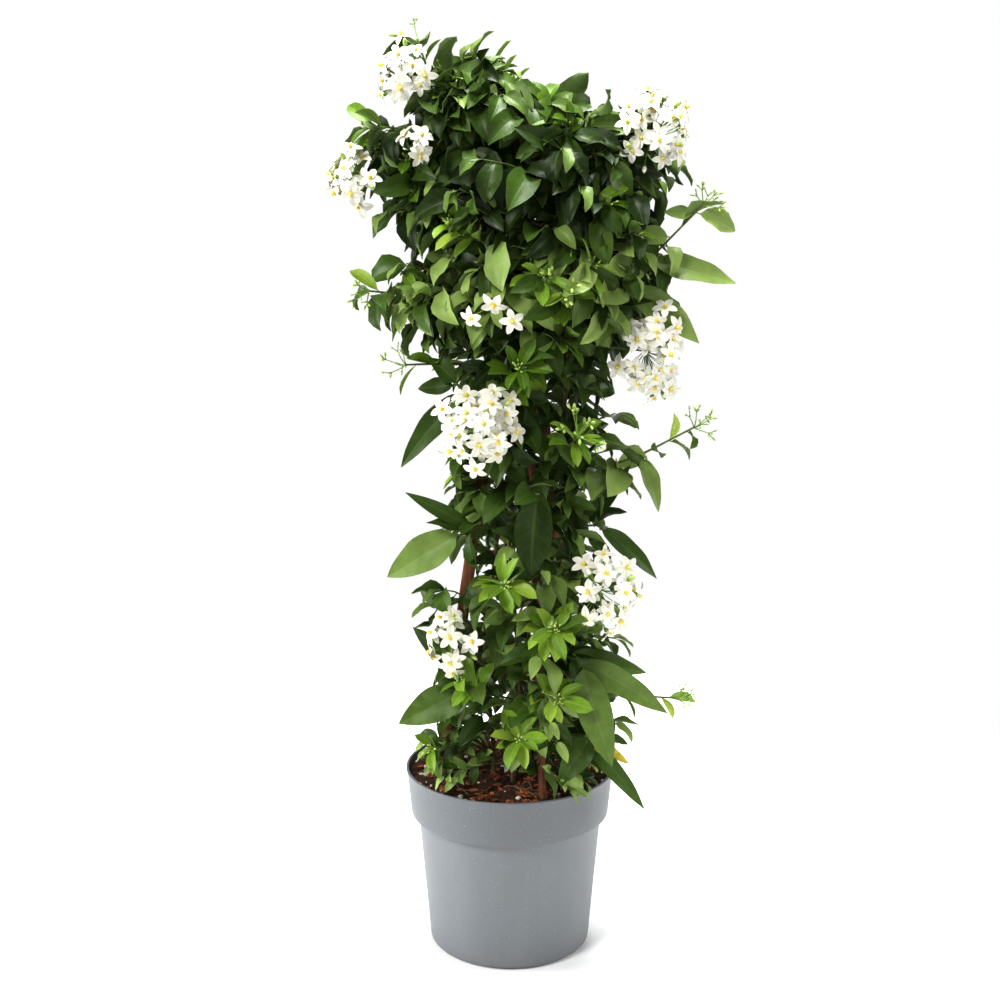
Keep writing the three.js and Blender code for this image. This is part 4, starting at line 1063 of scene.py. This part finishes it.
def makeShoot(name, root, end, lift, hang, own):
    node = Node(name)
    twig = firstTwig(node, root, Vector(end), lift)
    gathered = Gathered()
    takeTwig(gathered, twig, shootShape["thick"], shootShape["thin"])
    for share, tip, width, tone in hang:
        leaf = hangingLeaf(twig.spot(share * leafKinds["large"]["root"]), Vector(tip), width)
        takeLeaf(gathered, fittedLeaf(node, leaf) or leaf, tone, own)
    return node, twig, gathered


for number, (name, root, end, hang) in enumerate(shoots):
    own = drawsFrom(seeds["shootOwn"] + number)
    node, twig, gathered = makeShoot("old_" + name, root, end, 0, hang, own)
    addLeaves(gathered, None, twig, shootShape["from"], "column", shootShape["leaves"], own, own,
              shootShape["tones"])
    if name == withered["shoot"]:
        leaf = hangingLeaf(twig.spot(withered["share"]), Vector(withered["tip"]), withered["width"])
        takeLeaf(gathered, leaf, 0, own, "withered")
    makePiece("fine_old_" + name, gathered, ["old_" + name])

for number, (name, root, end, lift, kind, leaves, moreKind, more, branches, hang) in enumerate(arms):
    draw, own = drawsFrom(seeds["arm"] + number), drawsFrom(seeds["armOwn"] + number)
    node, twig, gathered = makeShoot("arm_" + name, root, end, lift, hang, own)
    tones = armTones["right" if end[0] > 0 else "left"]
    addLeaves(gathered, node, twig, plan["bare"]["arm"], kind, leaves, draw, own, tones)
    addLeaves(gathered, None, twig, shootShape["armFrom"], moreKind, more, own, own, tones)
    for share, tip, width, tone in paleLeaves.get(name, []):
        takeLeaf(gathered, hangingLeaf(twig.spot(share), Vector(tip), width), tone, own)
    rise = shootShape["rise"] if lift < shootShape["sagsBelow"] else shootShape["sag"]
    way = (twig.way(1) + up * rise).normalized()
    takePanicle(gathered, twig.end, way, branches, shootShape["branchReach"], shootShape["budSize"], own)
    makePiece("fine_arm_" + name, gathered, ["arm_" + name])
print("shoots and arms made:", len(shoots) + len(arms))

# Sprays that fill the plant all round. The frame carries a few leaves on each; the fill adds the rest.
tiers = [
    {"name": "spray_column", "kind": "column", "sprays": 6, "firstTurn": 0.6, "lowest": 200, "highest": 560,
     "rise": 22, "twigs": 3, "fan": 0.85, "leaves": 2, "reach": (0.7, 0.12)},
    {"name": "spray_crown", "kind": "crown", "sprays": 6, "firstTurn": 2, "lowest": 606, "highest": 722,
     "rise": 26, "twigs": 3, "fan": 0.95, "leaves": 3, "reach": (0.72, 0.14)},
    {"name": "spray_top", "kind": "crown", "sprays": 2, "firstTurn": 0.5, "lowest": 732, "highest": 734,
     "rise": 40, "twigs": 3, "fan": 1.3, "leaves": 3, "reach": (0.3, 0.5)},
]
sprayShape = {"fork": 0.28, "turn": 0.3, "firstRise": (0.3, 1), "rise": (-0.6, 2)}
fill = {
    "spray_column": {
        "kind": "columnFill", "shoots": 164, "leaves": 5, "low": 178, "high": 590, "least": 0.4, "drop": 34,
        "inside": 17, "sprigEvery": 8, "sprigs": [(-70, -56, 204)],
        # Shoots by the right arm, beside the left lath, before the middle lath and over the rim
        "more": [(90, -30, 500), (96, -36, 472), (88, -44, 446), (94, -30, 298), (92, -34, 222),
                 (-62, -40, 346), (-66, -34, 330), (-60, -46, 314), (28, -74, 372), (30, -80, 335),
                 (22, -84, 300), (32, -80, 268), (34, -84, 240), (40, -72, 218),
                 (-66, -48, 190), (-72, -26, 194), (-76, -40, 206), (-58, -62, 182), (-48, -70, 184),
                 (-64, -30, 180), (58, -70, 186), (70, -50, 192), (52, -78, 176), (66, -62, 176),
                 (44, -82, 186)],
    },
    "spray_crown": {
        "kind": "crownFill", "shoots": 140, "leaves": 6, "low": 580, "high": 742, "least": 0.5, "drop": 40,
        "inside": 9, "sprigEvery": 7,
        # Leafy lobes on the left, by the highest head there and by the arm below it, and shoots at the back
        "more": [(-104, -24, 738), (-98, -6, 722), (-108, -14, 704), (-94, -44, 700), (-96, -34, 674),
                 (-92, -34, 610), (-82, -44, 592), (-88, -28, 628), (-76, -22, 578), (-70, -56, 614),
                 (-66, 76, 682), (-30, 94, 700), (10, 96, 716), (44, 92, 728), (78, 80, 712), (24, 86, 742),
                 (-12, 90, 738), (60, 66, 744), (-52, 88, 664), (96, 60, 690)],
        "sprigs": [(-120, -24, 740), (-112, -14, 724), (26, -100, 624), (-84, -50, 606)],
    },
    "spray_top": {
        "kind": "crownFill", "shoots": 46, "leaves": 6, "low": 738, "high": 794, "least": 0.0, "drop": 44,
        "inside": 9, "sprigEvery": 4,
        "more": [(4, 44, 754), (20, 54, 750), (36, 44, 748), (-14, 52, 752), (8, 30, 762)], "sprigs": [],
    },
}
bareSoil = {"below": 225, "front": -2, "left": -42, "right": 34}  # no shoots end here, over the open soil
# Notches without shoots in the crown's sides and before the left lath: left edge, right edge, lowest, highest
notches = [(104, 400, 642, 694), (-400, -64, 638, 670), (-52, -18, 318, 390)]
# Range of leaf tones at each height, with light and shade painted into the colour: painted light low down
# and where the crown's lower edge catches the light, painted shade in the neck below that edge and in the
# crown above it
lightAndShadeTones = [[176, 0.15, 1.08], [360, 0.1, 0.95], [470, -0.04, 0.74], [520, -0.18, 0.52], [572, -0.2, 0.52],
             [598, 0.15, 1.45], [642, 0.1, 1.4], [670, -0.28, 0.62], [728, -0.28, 0.62], [755, -0.12, 0.62],
             [790, -0.05, 0.62]]
evenTones = {"range": (0.05, 0.75), "least": 0.35, "depth": 80}  # the sides and back vary less with height
fillShape = {
    "heights": (0.2, 0.6), "stray": 0.5, "spread": 0.5, "sprigAt": 2, "rootLow": 174, "rootBelowTop": 8,
    "drops": 0.4, "lifts": (14, 14), "swings": 16, "thick": 1.0, "thin": 0.55, "sides": 5, "from": 0.3,
    "smallBelow": 215, "sprigFrom": 0.75, "sprigLeaves": 5, "buds": 7, "budReach": 8, "budSize": 0.42,
}
sprigTones = [[250, 0.1, 0.8], [600, 0.0, 0.65], [700, -0.4, 0.2]]  # young leaves lit from above need less


# Tones for a leaf at a spot: the painted light and shade by height is strongest at the front
def tonesAt(spot):
    share = min(1, max(evenTones["least"], 0.5 - spot.y / evenTones["depth"]))
    return [mixed(even, tone, share) for even, tone in zip(evenTones["range"], tableAt(lightAndShadeTones, spot.z))]


def isBare(spot):
    if spot.z < bareSoil["below"] and spot.y < bareSoil["front"]:
        return bareSoil["left"] < spot.x < bareSoil["right"]
    return any(left < spot.x < right and low < spot.z < high for left, right, low, high in notches)


def fillShoots(tier):  # where a tier's extra leafy shoots end, spread evenly, and whether buds end them
    own = drawsFrom(seeds["fill"] + len(tier["name"]))
    rule = fill[tier["name"]]
    ends = [(Vector(spot), False) for spot in rule["more"]]
    ends += [(Vector(spot), True) for spot in rule["sprigs"]]
    least, span = fillShape["heights"]
    for i in range(rule["shoots"]):
        height = mixed(rule["low"], rule["high"], (i + least + span * own()) / rule["shoots"])
        turn = i * goldenTurn + (own() - 0.5) * fillShape["stray"]
        share = mixed(rule["least"], 1, own() ** fillShape["spread"])
        end = massSpot(height, turn, share, rule["inside"])
        if not isBare(end):
            ends.append((end, i % rule["sprigEvery"] == fillShape["sprigAt"]))
    return ends


def takeFillShoot(gathered, end, rule, isSprig, own):
    shape, tones = fillShape, tonesAt(end)
    low = min(end.z - rule["drop"] * (shape["drops"] + own()), plan["top"] - shape["rootBelowTop"])
    roots = [stemSpot(index, max(shape["rootLow"], low)) for index in range(len(plan["stemTurns"]))]
    start = min(roots, key=lambda spot: (spot - end).length)
    twig = Twig(start, end, within(shape["lifts"], own), (own() - 0.5) * shape["swings"])
    takeTwig(gathered, twig, shape["thick"], shape["thin"], shape["sides"])
    kind = rule["kind"] if end.z > shape["smallBelow"] else "lowFill"
    addLeaves(gathered, None, twig, shape["from"], kind, rule["leaves"], own, own, tones)
    if isSprig:
        addLeaves(gathered, None, twig, shape["sprigFrom"], "young", shape["sprigLeaves"], own, own,
                  tableAt(sprigTones, end.z))
        way = (twig.way(1) + up * budHead["lean"]).normalized()
        takeBudHead(gathered, twig.end, way, shape["buds"], shape["budReach"], shape["budSize"], own)
    else:
        takeEndLeaf(gathered, twig, kind, tones, own)


def makeSpray(tier, index, seed, ends):
    name = f"{tier['name']}_{index + 1}"
    node = Node(name)
    draw, own = drawsFrom(seed), drawsFrom(seeds["own"] + seed)
    root = tier["lowest"] + (tier["highest"] - tier["lowest"]) * index / (tier["sprays"] - 1)
    middleTurn = index * goldenTurn + tier["firstTurn"]
    gathered = Gathered()
    main = None
    for k in range(tier["twigs"]):
        way = k / 2 if k % 2 == 0 else -(k + 1) / 2
        turn = middleTurn + way * tier["fan"] + (draw() - 0.5) * sprayShape["turn"]
        rise = within(sprayShape["rise" if k else "firstRise"], draw)
        end = massSpot(root + tier["rise"] * rise, turn, within(tier["reach"], draw))
        if k == 0:
            main = twig = firstTwig(node, root, end, plan["lifts"]["spray"])
        else:
            start = main.spot(sprayShape["fork"])
            twig = node.nearest(twigOptions(start, end, plan["lifts"]["spray"]), twigSpots)
        if twig:
            takeTwig(gathered, twig)
            addLeaves(gathered, node, twig, plan["bare"]["spray"], tier["kind"], tier["leaves"], draw, own,
                      tonesAt(twig.end))
    for end, isSprig in ends:
        takeFillShoot(gathered, end, fill[tier["name"]], isSprig, own)
    makePiece("fine_" + name, gathered, [name])


def makeTier(tier, number):
    names = [f"{tier['name']}_{i + 1}" for i in range(tier["sprays"])]
    middles = [(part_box(name)[0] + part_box(name)[1]) / 2 / mm for name in names]
    shares = [[] for _ in names]
    for end, isSprig in fillShoots(tier):
        gaps = [(end - middle).length for middle in middles]
        shares[gaps.index(min(gaps))].append((end, isSprig))
    for i, ends in enumerate(shares):
        makeSpray(tier, i, seeds["spray"] + seeds["nextTier"] * number + i, ends)


for number, tier in enumerate(tiers):
    makeTier(tier, number)
print("sprays made")


# Stems: thin woody bines that climb inside the laths and pass out between them
stem = {"radius": 2.4, "tipShare": 0.62, "steps": 90, "sides": 12, "jointEvery": 46, "jointHalf": 3.2,
        "between": 0.86, "swell": 0.15}


def makeStems():
    for index in range(len(plan["stemTurns"])):
        path, radii = [], []
        for i in range(stem["steps"] + 1):
            share = i / stem["steps"]
            height = mixed(plan["bottom"], plan["top"], share)
            path.append(stemSpot(index, height))
            past = height % stem["jointEvery"] - stem["jointEvery"] / 2
            joint = math.exp(-(past / stem["jointHalf"]) ** 2)
            thick = stem["radius"] * mixed(1, stem["tipShare"], share)
            radii.append(thick * (stem["between"] + stem["swell"] * joint))
        gathered = Gathered()
        takeTube(gathered, path, radii, stem["sides"], "bark")
        makePiece(f"fine_stem_{index}", gathered, [f"stem_{index}"])


makeStems()

# Laths with their sawn edges just broken, and two turns of wire round their tops
lath = {
    "width": 11, "thickness": 4.5, "bottom": 128, "top": 612, "meet": (10, 8, 612), "meetRing": 9.5,
    "feet": {"front": (29, -62), "left": (-65, 10), "right": (60, 40)}, "footHeight": 155, "edge": 0.7,
    "steps": 44, "rough": 0.16, "grain": 0.11, "broken": 0.3, "endShare": 0.93,
}
tie = {"height": 598, "wire": 1.1, "turns": 2, "steps": 40, "dents": 3, "dent": 0.012, "pitch": 2.4,
       "end": 6, "endWay": (1, 0.15, 0.1), "endIn": -0.4, "endRise": 1.4}


def lathBasis(foot):
    meet = Vector(lath["meet"])
    start = Vector((*foot, lath["footHeight"]))
    away = Vector((foot[0] - meet.x, foot[1] - meet.y, 0)).normalized()
    along = (meet + away * lath["meetRing"] - start).normalized()
    side = along.cross(away).normalized()
    return start, along, side.cross(along).normalized(), side


def makeLath(name, foot):
    start, along, face, side = lathBasis(foot)
    low = start + along * ((lath["bottom"] - lath["footHeight"]) / along.z)
    high = start + along * ((lath["top"] - lath["footHeight"]) / along.z)
    wide, thick, edge = lath["width"] / 2, lath["thickness"] / 2, lath["edge"]
    broken = edge * lath["broken"]
    section = []
    for sx, sy in ((1, 1), (-1, 1), (-1, -1), (1, -1)):
        corners = [(sx * wide, sy * (thick - edge)), (sx * (wide - broken), sy * (thick - broken)),
                   (sx * (wide - edge), sy * thick)]
        section += corners if sx * sy > 0 else corners[::-1]
        if sx * sy > 0:
            section.append((0, sy * thick))
    spots = []
    for i in range(lath["steps"] + 1):
        centre = low.lerp(high, i / lath["steps"])
        shrink = lath["endShare"] if i in (0, lath["steps"]) else 1
        for x, y in section:
            spot = centre + face * x * shrink + side * y * shrink
            spot += (face + side) * noise.noise(spot * lath["grain"]) * lath["rough"]
            spots.append(tuple(spot))
    gathered = Gathered()
    gathered.take(spots, ringFaces(lath["steps"] + 1, len(section)), "lath")
    makePiece("fine_lath_" + name, gathered, ["lath_" + name], 0.6)


def makeTie():
    low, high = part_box("lath_tie")
    reach = (high.x - low.x) / 2 / mm - tie["wire"]
    path = []
    count = tie["steps"] * tie["turns"]
    for i in range(count + 1):
        share = i / count
        turn = 2 * math.pi * tie["turns"] * share
        wobble = 1 - tie["dent"] * (1 + math.cos(tie["dents"] * turn))
        path.append(Vector((lath["meet"][0] + reach * wobble * math.cos(turn),
                            lath["meet"][1] + reach * wobble * math.sin(turn),
                            tie["height"] + (share - 0.5) * tie["pitch"] * tie["wire"])))
    outward = Vector(tie["endWay"]).normalized()
    for i in range(1, tie["end"] + 1):
        path.append(path[count] + outward * tie["endIn"] * i + up * tie["endRise"] * i)
    gathered = Gathered()
    takeTube(gathered, path, [tie["wire"]] * len(path), 8, "tie")
    makePiece("fine_lath_tie", gathered, ["lath_tie"])


for name, foot in lath["feet"].items():
    makeLath(name, foot)
makeTie()
print("stems, laths and tie made")

# Pot: turned smooth, with a rolled lip, a band below it and a rounded foot
pot = {
    "height": 169, "rimRadius": 95, "rimFootRadius": 90.5, "rimBand": 43, "neckRadius": 84,
    "footRadius": 73.5, "foot": 6, "wall": 1.8, "floor": 3, "lip": 1.3, "turns": 144,
    "holes": 6, "holeRadius": 5, "holeRing": 48,
    "hub": 8,  # the smallest ring of corners on both faces of the floor
    "hollow": 1.2, "ledge": 1,  # rounding of the corner under the band and of the band's lower edge
    "footEnd": -0.08, "lipStart": -0.9, "lipBack": 0.9, "lipDrop": 3.2, "lipDepth": 4, "shoulder": 2,
    "fillet": 3, "cutFrom": -6, "cutTo": 9, "cutSides": 24,
}


def arcRows(centre, radius, first, last, steps):
    turns = [mixed(first, last, i / steps) for i in range(steps + 1)]
    return [(centre[0] + radius * math.cos(turn), centre[1] + radius * math.sin(turn)) for turn in turns]


def lineRows(start, end, steps):  # the start itself is left out
    shares = [i / steps for i in range(1, steps + 1)]
    return [(mixed(start[0], end[0], share), mixed(start[1], end[1], share)) for share in shares]


def potInner(height):
    neck = pot["height"] - pot["rimBand"]
    if height > neck + pot["wall"]:
        share = (height - neck) / pot["rimBand"]
        return mixed(pot["rimFootRadius"], pot["rimRadius"], share) - pot["wall"]
    share = (height - pot["foot"]) / (neck - pot["foot"])
    return mixed(pot["footRadius"], pot["neckRadius"], share) - pot["wall"]


def makePot():
    top, neck = pot["height"], pot["height"] - pot["rimBand"]
    lip, foot, wall, floor = pot["lip"], pot["foot"], pot["wall"], pot["floor"]
    hollow, ledge, quarter = pot["hollow"], pot["ledge"], math.pi / 2
    footRadius, neckRadius, rimFoot = pot["footRadius"], pot["neckRadius"], pot["rimFootRadius"]
    profile = [(pot["hub"], 0), (footRadius - foot, 0)]
    profile += arcRows((footRadius - foot, foot), foot, -quarter, pot["footEnd"], 6)[1:]
    profile += lineRows((footRadius, foot), (neckRadius, neck - ledge), 9)[:-1]
    profile += arcRows((neckRadius + hollow, neck - hollow), hollow, math.pi, quarter, 3)
    profile += arcRows((rimFoot - ledge, neck + ledge), ledge, -quarter, 0, 3)
    profile += lineRows((rimFoot, neck + ledge), (pot["rimRadius"] - pot["lipBack"], top - pot["lipDrop"]), 5)
    profile += arcRows((pot["rimRadius"] - lip, top - lip), lip, pot["lipStart"], math.pi, 9)
    for height in (top - pot["lipDepth"], neck + wall + pot["shoulder"], neck + wall, floor + pot["fillet"]):
        profile.append((potInner(height), height))
    profile += [(potInner(floor) - pot["fillet"], floor), (pot["hub"], floor)]
    spots = [spot for radius, height in profile for spot in ringSpots(radius, height, pot["turns"])]
    gathered = Gathered()
    gathered.take(spots, ringFaces(len(profile), pot["turns"]), "pot")
    return makePiece("fine_pot", gathered, ["pot"], 0.7)


def cutHoles(piece):  # drain holes through the floor
    gathered = Gathered()
    profile = [(pot["holeRadius"], pot["cutFrom"]), (pot["holeRadius"], pot["cutTo"])]
    for centre in ringSpots(pot["holeRing"], 0, pot["holes"]):
        takeLathe(gathered, centre, up, profile, pot["cutSides"], "pot")
    holes = newObject("holes", gathered.mesh("holes"))
    cut = piece.modifiers.new("holes", "BOOLEAN")
    cut.operation = "DIFFERENCE"
    cut.object = holes
    cut.solver = "EXACT"
    dressed = bpy.data.meshes.new_from_object(piece.evaluated_get(bpy.context.evaluated_depsgraph_get()))
    piece.modifiers.clear()
    piece.data = dressed
    bpy.data.objects.remove(holes)


cutHoles(makePot())


def makeSoil():  # a crumbed top and the sides down to the pot's floor
    count, rings, gap, first = soil["turns"], soil["rings"], soil["rimGap"], soil["firstRing"]
    rimRadius = potInner(soil["top"]) - gap
    spots = []
    for i in range(rings + 1):
        radius = rimRadius * (i + first) / (rings + first)
        for turn in turnsRound(count, 0.5 * (i % 2)):
            x, y = radius * math.cos(turn), radius * math.sin(turn)
            crumb = sum(share * noise.noise(Vector((x, y, 0)) * scale) for share, scale in soil["crumbs"])
            spots.append((x, y, soilHeight(x, y) + soil["crumb"] * crumb - soil["sunk"]))
    neck = pot["height"] - pot["rimBand"] + pot["wall"]
    walls = [(rimRadius, soil["top"] - soil["side"]),
             (potInner(neck + soil["shoulder"]) - gap, neck + soil["above"]),
             (potInner(neck) - gap, neck - soil["below"]), (potInner(soil["foot"]) - gap, soil["floor"])]
    for radius, height in walls:
        spots += ringSpots(radius, height, count)
    gathered = Gathered()
    gathered.take(spots, ringFaces(rings + 1 + len(walls), count, True), "soil")
    makePiece("fine_soil", gathered, ["soil"], 3.0)


# Litter on the soil: bark chips, perlite and roots, each between two distances from the middle
litter = {
    "chips": {"count": 260, "ring": (4, 87), "least": 2.4, "larger": 3.6, "slim": (0.35, 0.3),
              "thick": (0.9, 0.8), "tilt": 0.9, "lift": 0.7, "rough": 0.55},
    "perlite": {"count": 170, "byRim": (74, 89), "anywhere": (10, 89), "least": 0.8, "larger": 1.7,
                "shape": (1, 0.85, 0.75), "spin": 3, "lift": 0.8, "rough": 0.5},
    "roots": {"count": 70, "ring": (8, 80), "bow": 1.6, "lengths": (9, 16), "steps": 7, "edge": 87,
              "lift": 1.2, "arch": 2.2, "radius": 0.42},
    "lump": [(0.0, -1), (0.5, -0.75), (0.95, -0.2), (0.9, 0.35), (0.45, 0.8), (0.0, 1)],
    "sides": 7, "dents": 1.7, "apart": 40,
}


def groundSpot(draw, least, most):
    turn = 2 * math.pi * draw()
    radius = mixed(least, most, math.sqrt(draw()))
    x, y = radius * math.cos(turn), radius * math.sin(turn)
    return Vector((x, y, soilHeight(x, y)))


def takeLump(gathered, centre, sizes, turn, rough, finish, draw):  # a seven-sided broken lump
    seed = Vector((draw(), draw(), draw())) * litter["apart"]
    spots, rows = [], []
    for wide, height in litter["lump"]:
        rows.append([])
        for angle in turnsRound(litter["sides"]) if wide else [0]:
            spot = Vector((wide * math.cos(angle), wide * math.sin(angle), height))
            spot *= 1 + rough * noise.noise(spot * litter["dents"] + seed)
            rows[-1].append(len(spots))
            spots.append(tuple(spot))
    placed = (np.array(spots) * np.array(sizes)) @ np.array(turn.to_matrix()).T + np.array(centre)
    gathered.take(placed, rowFaces(rows, litter["sides"]), finish)


def takeRoot(gathered, draw):  # a fibre that arches over the soil and ends at the pot's wall
    rule = litter["roots"]
    spot = groundSpot(draw, *rule["ring"])
    turn, bow, length = draw() * anyTurn, (draw() - 0.5) * rule["bow"], within(rule["lengths"], draw)
    path = []
    for i in range(rule["steps"] + 1):
        share = i / rule["steps"]
        angle = turn + bow * share
        place = spot + Vector((math.cos(angle), math.sin(angle), 0)) * length * share
        if math.hypot(place.x, place.y) > rule["edge"]:
            break
        arch = rule["arch"] * math.sin(share * math.pi) * draw()
        place.z = soilHeight(place.x, place.y) + rule["lift"] + arch
        path.append(place)
    if len(path) > 3:
        takeTube(gathered, path, [rule["radius"]] * len(path), 5, "root")


def makeLitter():
    draw = drawsFrom(seeds["litter"])
    chips, grains, roots = Gathered(), Gathered(), Gathered()
    rule = litter["chips"]
    for _ in range(rule["count"]):
        spot = groundSpot(draw, *rule["ring"])
        size = rule["least"] + rule["larger"] * draw() ** 2
        turn = Quaternion((0, 0, 1), draw() * anyTurn) @ Quaternion((0, 1, 0), (draw() - 0.5) * rule["tilt"])
        sizes = (size, size * within(rule["slim"], draw), within(rule["thick"], draw))
        takeLump(chips, spot + up * rule["lift"], sizes, turn, rule["rough"], "chip", draw)
    rule = litter["perlite"]
    for i in range(rule["count"]):
        spot = groundSpot(draw, *rule["byRim" if i % 3 else "anywhere"])
        size = rule["least"] + rule["larger"] * draw() ** 2
        turn = Quaternion((draw() - 0.5, draw() - 0.5, draw()), draw() * rule["spin"])
        sizes = [size * share for share in rule["shape"]]
        takeLump(grains, spot + up * rule["lift"], sizes, turn, rule["rough"], "perlite", draw)
    for _ in range(litter["roots"]["count"]):
        takeRoot(roots, draw)
    makePiece("bark_chips", chips, [], 0.5)
    makePiece("perlite_grains", grains, [], 0.6)
    makePiece("root_fibres", roots, [])


makeSoil()
makeLitter()
print("pot and soil made")

# Stage: a pale floor, soft studio light and the camera
camera = {
    "place": (-0.009, -1.5, 0.753), "pitch": 12.63, "lens": 62.39, "sensor": 36, "near": 0.05, "far": 50,
}
lamps = {
    "key": {"place": (-1.3, -1.6, 2.2), "size": 0.8, "power": 58},
    "front": {"place": (0.6, -2.3, 0.9), "size": 2.0, "power": 25},
    "top": {"place": (0.1, 0.1, 2.6), "size": 1.0, "power": 112},
    "left": {"place": (-2.0, 0.0, 0.6), "size": 1.2, "power": 51},
    "right": {"place": (2.0, 0.1, 0.8), "size": 1.2, "power": 28},
    "back": {"place": (0.2, 2.2, 1.4), "size": 2.0, "power": 22},
}
# Matt painted board: an even ground, nearly white, without a gloss
stage = {"floor": "#f7f7f7", "roughness": 0.9, "reach": 0.8, "corners": 96, "sunk": 0.0004,
         "sky": "#ffffff", "skyLight": 1.0, "gamma": 0.82, "aim": (0, 0, 0.42)}


def makeStage():  # the camera sees a white surround, but no matt or glossy surface is lit by it
    mesh = newMesh("floor", ringSpots(stage["reach"], 0, stage["corners"]), [list(range(stage["corners"]))])
    floor = newObject("floor", mesh, (0, 0, -stage["sunk"]))
    material, tree, shader = newMaterial("matt painted floor")
    setUp(tree, shader, {"Base Color": fromHex(stage["floor"]), "Roughness": stage["roughness"]})
    mesh.materials.append(material)
    world = bpy.data.worlds.new("studio")
    bpy.context.scene.world = world
    world.use_nodes = True
    world.cycles_visibility.diffuse = False
    world.cycles_visibility.glossy = False
    light = world.node_tree.nodes["Background"]
    light.inputs[0].default_value = fromHex(stage["sky"])
    light.inputs[1].default_value = stage["skyLight"]


def makeLamps():
    for name, lamp in lamps.items():
        light = bpy.data.lights.new(name, "AREA")
        light.shape = "DISK"
        light.size = lamp["size"]
        light.energy = lamp["power"]
        aim = Vector(stage["aim"]) - Vector(lamp["place"])
        newObject(name, light, lamp["place"]).rotation_euler = aim.to_track_quat("-Z", "Y").to_euler()


def makeCamera():
    lens = bpy.data.cameras.new("camera")
    lens.lens = camera["lens"]
    lens.sensor_width = camera["sensor"]
    lens.clip_start, lens.clip_end = camera["near"], camera["far"]
    holder = newObject("camera", lens, camera["place"])
    holder.rotation_euler = (math.radians(90 - camera["pitch"]), 0, 0)
    bpy.context.scene.camera = holder


makeStage()
makeLamps()
makeCamera()
bpy.context.scene.view_settings.view_transform = "Standard"
bpy.context.scene.view_settings.gamma = stage["gamma"]

faceCount = sum(len(face.vertices) - 2 for piece in bpy.data.objects if piece.type == "MESH"
                and not piece.hide_render for face in piece.data.polygons)
print("triangles shown:", faceCount)
print("stage made")
